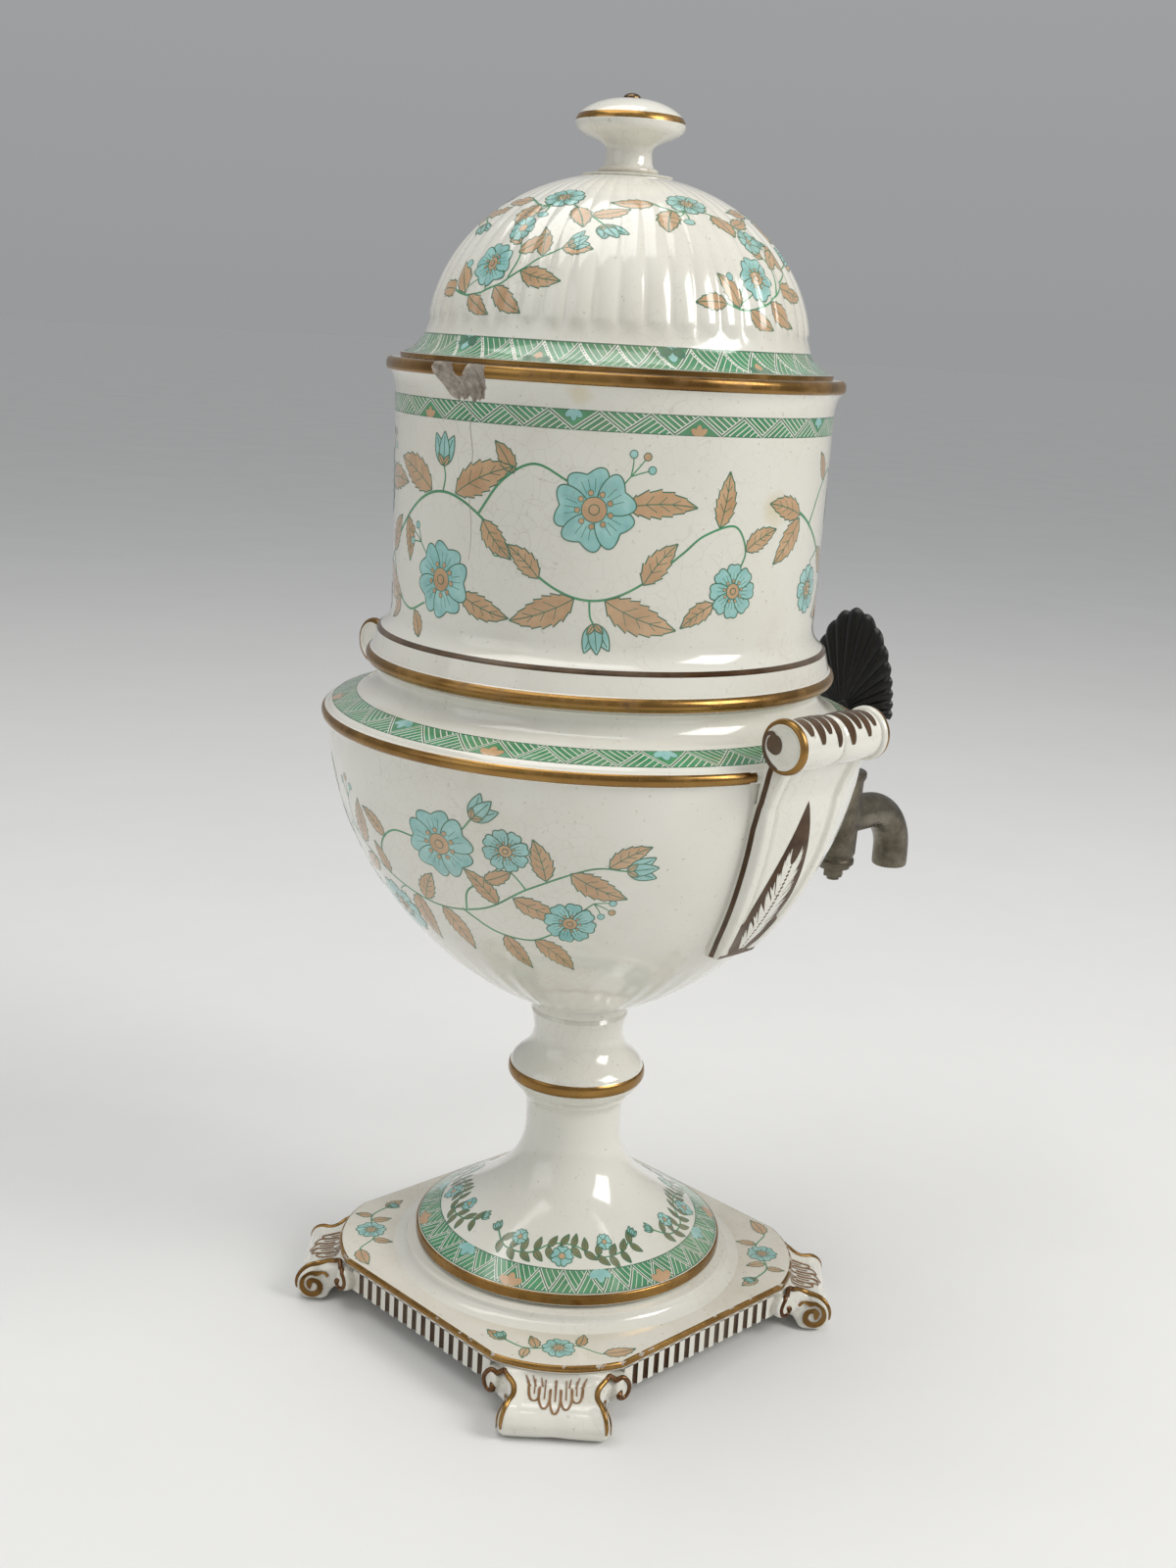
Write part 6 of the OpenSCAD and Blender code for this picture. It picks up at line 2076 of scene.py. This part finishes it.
garland.leaves(((-29, 12.5), 232, 12, 5.5, -0.1, 5), ((-16, 9.6), -58, 11, 5, 0.1, 5),
               ((-6, 51), 146, 24, 10, 0.22, 7), ((6, 51), 36, 25, 10, -0.2, 7))
garland.stem([(0, 51), (1, 56), (0, 60)], 0.7, 0.6)
garland.bell((0, 59.5), 88, 11)
garland.leaves(((18, 43.8), -58, 16, 7, 0.2, 6), ((-22, 40.8), -72, 15, 6.5, -0.2, 6))
garland.rose((0, 22), 13, 72)
garland.leaf((9.5, 18.6), -28, 20, 7.5, 0.2, 6)
garland.tendril((30, 34.5), 205, 11, -1)
garland.tendril((-72, 26.7), 20, 11, 1)
garland.stem([(-7, 28), (-10, 31), (-12, 33)], 0.5, 0.4)
garland.berries((-12, 33), 148, 6)
garland.daisy((105, 25), 8.5)
garland.leaves(((109, 38), 38, 15, 6.5, -0.2, 6), ((98, 45.6), 74, 18, 7, 0.15, 6),
               ((98, 21), 206, 14, 6, 0.15, 5), ((-104, 49), 158, 18, 7.5, 0.15, 6),
               ((-104, 48), 236, 20, 8, -0.15, 6))
garland.daisy((-92, 23), 8)
garland.stem([(-84, 36), (-90, 33), (-92, 30)], 0.7, 0.6)
garland_low_z = 267.5
on_vessel = on_turned(vessel_side, 180, 76.4, garland_low_z)
print_on(on_vessel, garland, "vessel", "vessel_spray_front", "vessel_spray_back")

# %% Crack below the flake
crack_line = flow([(0, 0), (-0.8, -9), (0.5, -18), (-0.4, -30), (0.9, -42), (0.3, -52)])
crack = Drawing(1.2)
crack.stroke(crack_line, np.linspace(0.34, 0.12, len(crack_line)), "crack", 0.032)
crack_top_z = 349.0
print_on(on_turned(vessel_side, -170.6, 76.6, crack_top_z), crack, "vessel", "rim_crack")

# %% Spray of the bowl
bouquet = Spray(1.5)
bouquet.stem([(-86, 60), (-70, 66), (-50, 64), (-30, 52), (-10, 40), (12, 34), (34, 38), (52, 50), (72, 60),
              (84, 60)], 1.1, 0.6)
bouquet.stem([(-36, 56), (-42, 44), (-36, 32), (-24, 27)], 0.9, 0.7)
bouquet.stem([(24, 35.5), (36, 27), (50, 25), (60, 30)], 0.9, 0.7)
bouquet.stem([(-14, 42), (-10, 54), (0, 62), (12, 62)], 0.9, 0.7)
for root, turn, length, width, bend in (
        ((-84, 61), 152, 17, 7, 0.2), ((-76, 65), 100, 15, 6.5, -0.2), ((-64, 66), 32, 18, 7.5, -0.2),
        ((-66, 66), 232, 22, 9, 0.2), ((-48, 63), 78, 15, 6.5, 0.2), ((-26, 50), 62, 19, 8, 0.2),
        ((-20, 46), 222, 16, 7, -0.2), ((-41, 47), 188, 21, 8.5, 0.25), ((-38, 34), 216, 22, 9, -0.2),
        ((2, 36), 250, 24, 9.5, 0.22), ((14, 34), -62, 22, 9, -0.2), ((6, 35), 64, 16, 7, -0.1),
        ((40, 41), 118, 17, 7, 0.2), ((46, 45), -32, 19, 8, 0.2), ((58, 54), 96, 16, 7, 0.15),
        ((66, 58), -38, 21, 8.5, 0.2), ((78, 61), 44, 15, 6.5, -0.2), ((40, 26), -78, 20, 8, 0.2),
        ((52, 25.5), -34, 22, 9, -0.22), ((-6, 58), 132, 14, 6, 0.2)):
    bouquet.leaf(root, turn, length, width, bend, 6 if length < 20 else 7)
bouquet.rose((-18, 24), 12.5, 60)
bouquet.rose((21, 62), 13, 100)
bouquet.daisy((66, 36), 9, 80)
bouquet.daisy((-56, 52), 8.5, 70)
bouquet.bell((84, 60), 8, 10)
bouquet.bell((-86, 60), 196, 10)
bouquet.stem([(24, 64), (30, 69), (34, 74)], 0.7, 0.6)
bouquet.bell((34, 74), 46, 10)
bouquet.stem([(-30, 52), (-31.5, 59), (-30, 66)], 0.6, 0.5)
bouquet.berries((-30, 66), 84, 7)
bouquet.stem([(68, 40), (71.5, 43.5), (74, 46)], 0.6, 0.5)
bouquet.berries((74, 46), -30, 6.5)
bouquet.tendril((-4, 37.9), 200, 11, 1)
bouquet.tendril((51, 49.4), 118, 13, 1)
bouquet.stem([(26, 36), (29, 45), (38, 52), (44, 60)], 0.8, 0.6)
bouquet.daisy((45, 64), 7.5, 60)
bouquet.leaves(((36, 50.5), 20, 12, 5.5, 0.15, 5), ((-12, 41), 96, 13, 6, 0.15, 5))


def bowl_flutes(angle, radius, height):
    return press_flutes(angle, radius, height)[0] - radius


bowl_print_r = 90.0
bouquet_low_z = 153.0
on_bowl_front = on_turned(bowl_side, 180, bowl_print_r, bouquet_low_z, bowl_flutes)
print_on(on_bowl_front, bouquet, "urn", "bowl_spray_front")


# %% Small sprays of lid and tap side
def posy(grain, size=1.0):
    """A rose with leaves, a bell and berries."""
    art = Spray(grain, size)
    art.stem([(-22, 7), (-12, 5), (0, 9), (11, 17), (20, 22)], 0.8, 0.5)
    art.stem([(2, 10), (4, 18), (0, 26)], 0.7, 0.5)
    for root, turn, length, width, bend in (
            ((-20, 6.6), 170, 10, 5, 0.2), ((-15, 5.5), 112, 12, 5.5, 0.2), ((-12, 5), -40, 11, 5, 0.2),
            ((-2, 8), -46, 13, 6, 0.2), ((6, 13), -22, 14, 6, 0.2), ((12, 18), 96, 11, 5, 0.2),
            ((18, 21), 12, 10, 5, -0.2), ((3, 19), 34, 11, 5, 0.1), ((2, 22), 140, 11, 5, -0.1)):
        art.leaf(root, turn, length, width, bend, 5)
    art.stem([(-5, 6.4), (-6.4, 9), (-6, 12)], 0.7, 0.6)
    art.rose((-6, 15), 7.2, 84)
    art.bell((20, 22), 30, 7)
    art.daisy((-1, 28), 4.6)
    art.berries((-16, 6), 66, 9)
    return art


def lid_facets(angle, radius, height):
    """How far the pressed dome lies inside the plain one, with the mesh's own facets."""
    step = 2 * math.pi / lid_steps
    k = np.floor(angle / step)
    share = angle / step - k
    near, far = reed_push(k * step, radius, height), reed_push((k + 1) * step, radius, height)
    return near * (1 - share) + far * share


on_lid_side = on_turned(lid_dome, 187.5, 63.0, reed_low_z + 0.8, lid_facets)
print_on(on_lid_side, posy(0.65, 1.1), "lid", *numbered("lid_posy", 4))
posy_low_z = 176.0
for name, centre in (("bowl_posy_1", -47), ("bowl_posy_2", 47)):
    print_on(on_turned(bowl_side, centre, bowl_print_r, posy_low_z), posy(1.5, 1.35), "urn", name)

# %% Sprigs round the knob
sprig = Spray(0.65)
sprig.stem([(-11, 19), (-4, 14), (2, 16), (9, 9), (12, 5)], 0.7, 0.5)
for root, turn, length, width, bend in (((-9, 17.5), 196, 10, 5, -0.2), ((-5, 14.5), -112, 11, 5, 0.2),
                                        ((5, 13.5), -62, 10, 4.5, -0.2), ((9, 9), 18, 9, 4.5, 0.2)):
    sprig.leaf(root, turn, length, width, bend, 5)
sprig.daisy((0, 19), 5.2)
sprig.bell((12, 5), -62, 6)
sprig.berries((-2, 14), 236, 5)
sprig_low_z = lid_dome[-1][1] - 22.0
on_crown = on_turned(lid_dome, 195, 30.0, sprig_low_z, lid_facets)
print_on(on_crown, sprig, "lid", *numbered("crown_sprig", 6))

# %% Wreath of the pedestal
chain = Spray(1.0)
chain.stem([(-31, 9), (-24, 4), (-14, 4), (-6, 9), (4, 9), (13, 4), (23, 5), (30, 10)], 0.7, 0.5)
for k, u in enumerate(range(-27, 30, 5)):
    v = 6.5 + 2.6 * math.cos(2 * math.pi * (u + 1) / 36)
    for way in (1, -1):
        chain.leaf((u, v), 62 * way + 18 * math.sin(u), 5.8, 2.7, 0.1, 0, "olive")
for centre, radius in (((-20, 9.5), 3.4), ((-1, 4.4), 4.4), ((17, 10), 3.4)):
    chain.rose(centre, radius)
chain.bell((30, 10), 40, 4.6)
chain.bell((-31, 9), 140, 4.6)
on_cone = on_turned(flare_up, 225, 47.0, cone_band[1] + 0.5)
print_on(on_cone, chain, "urn", *numbered("cone_chain", 4))

# %% Sprigs on the plinth's corners
corner_sprig = Spray(1.5)
corner_sprig.stem([(-20, 9), (-12, 4), (-3, 5), (6, 7), (15, 3), (20, 4)], 0.7, 0.5)
corner_sprig.leaves(((-19, 8.6), 152, 9, 4.6, -0.2, 5), ((-11, 4), 246, 7, 3.6, 0.2, 4),
                    ((16, 3.2), 8, 12, 5.4, 0.25, 5), ((7, 6.8), 66, 8, 4, 0.2, 4),
                    ((-8, 4), 96, 8, 4, 0.2, 4))
corner_sprig.rose((0, 5), 6.0, 80)
corner_sprig.bell((-20, 9), 120, 5)


sprig_r = 82.5


def on_plate(u, v, lift):
    """Takes a flat place on the front corner, with v towards the axis, to the plate's top."""
    out, turn = sprig_r - v, math.radians(225)
    x = out * math.cos(turn) - u * math.sin(turn)
    y = out * math.sin(turn) + u * math.cos(turn)
    return stack([x, y, plinth_z + lift])


print_on(on_plate, corner_sprig, "urn", *numbered("corner_sprig", 4))

# %% [markdown]
# ## Hidden fittings
#
# Nuts, washers, the tie rod, the strainer and its knob keep their CAD shape: they are plain turned and cut
# parts. They only get a real finish. Modelling them again would add nothing that shows.

# %% Finishes for the fittings
FITTINGS = {
    "pewter": ["tap_back_nut", "tap_plug", "plug_washer", "strainer_knob"],
    "iron": ["tie_rod", "tie_foot_washer", "tie_nut", "knob_nut", "handle_pin"],
    "leather": ["pedestal_bed", "bowl_seat_washer", "tie_head_washer", "tap_outer_washer", "tap_inner_washer",
                "knob_washer"],
    "ivory": ["strainer"],
}
for finish, names in FITTINGS.items():
    for name in names:
        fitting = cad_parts[name]
        fitting.data.materials.clear()
        fitting.data.materials.append(FINISH[finish])
print("fittings:", sum(len(names) for names in FITTINGS.values()))
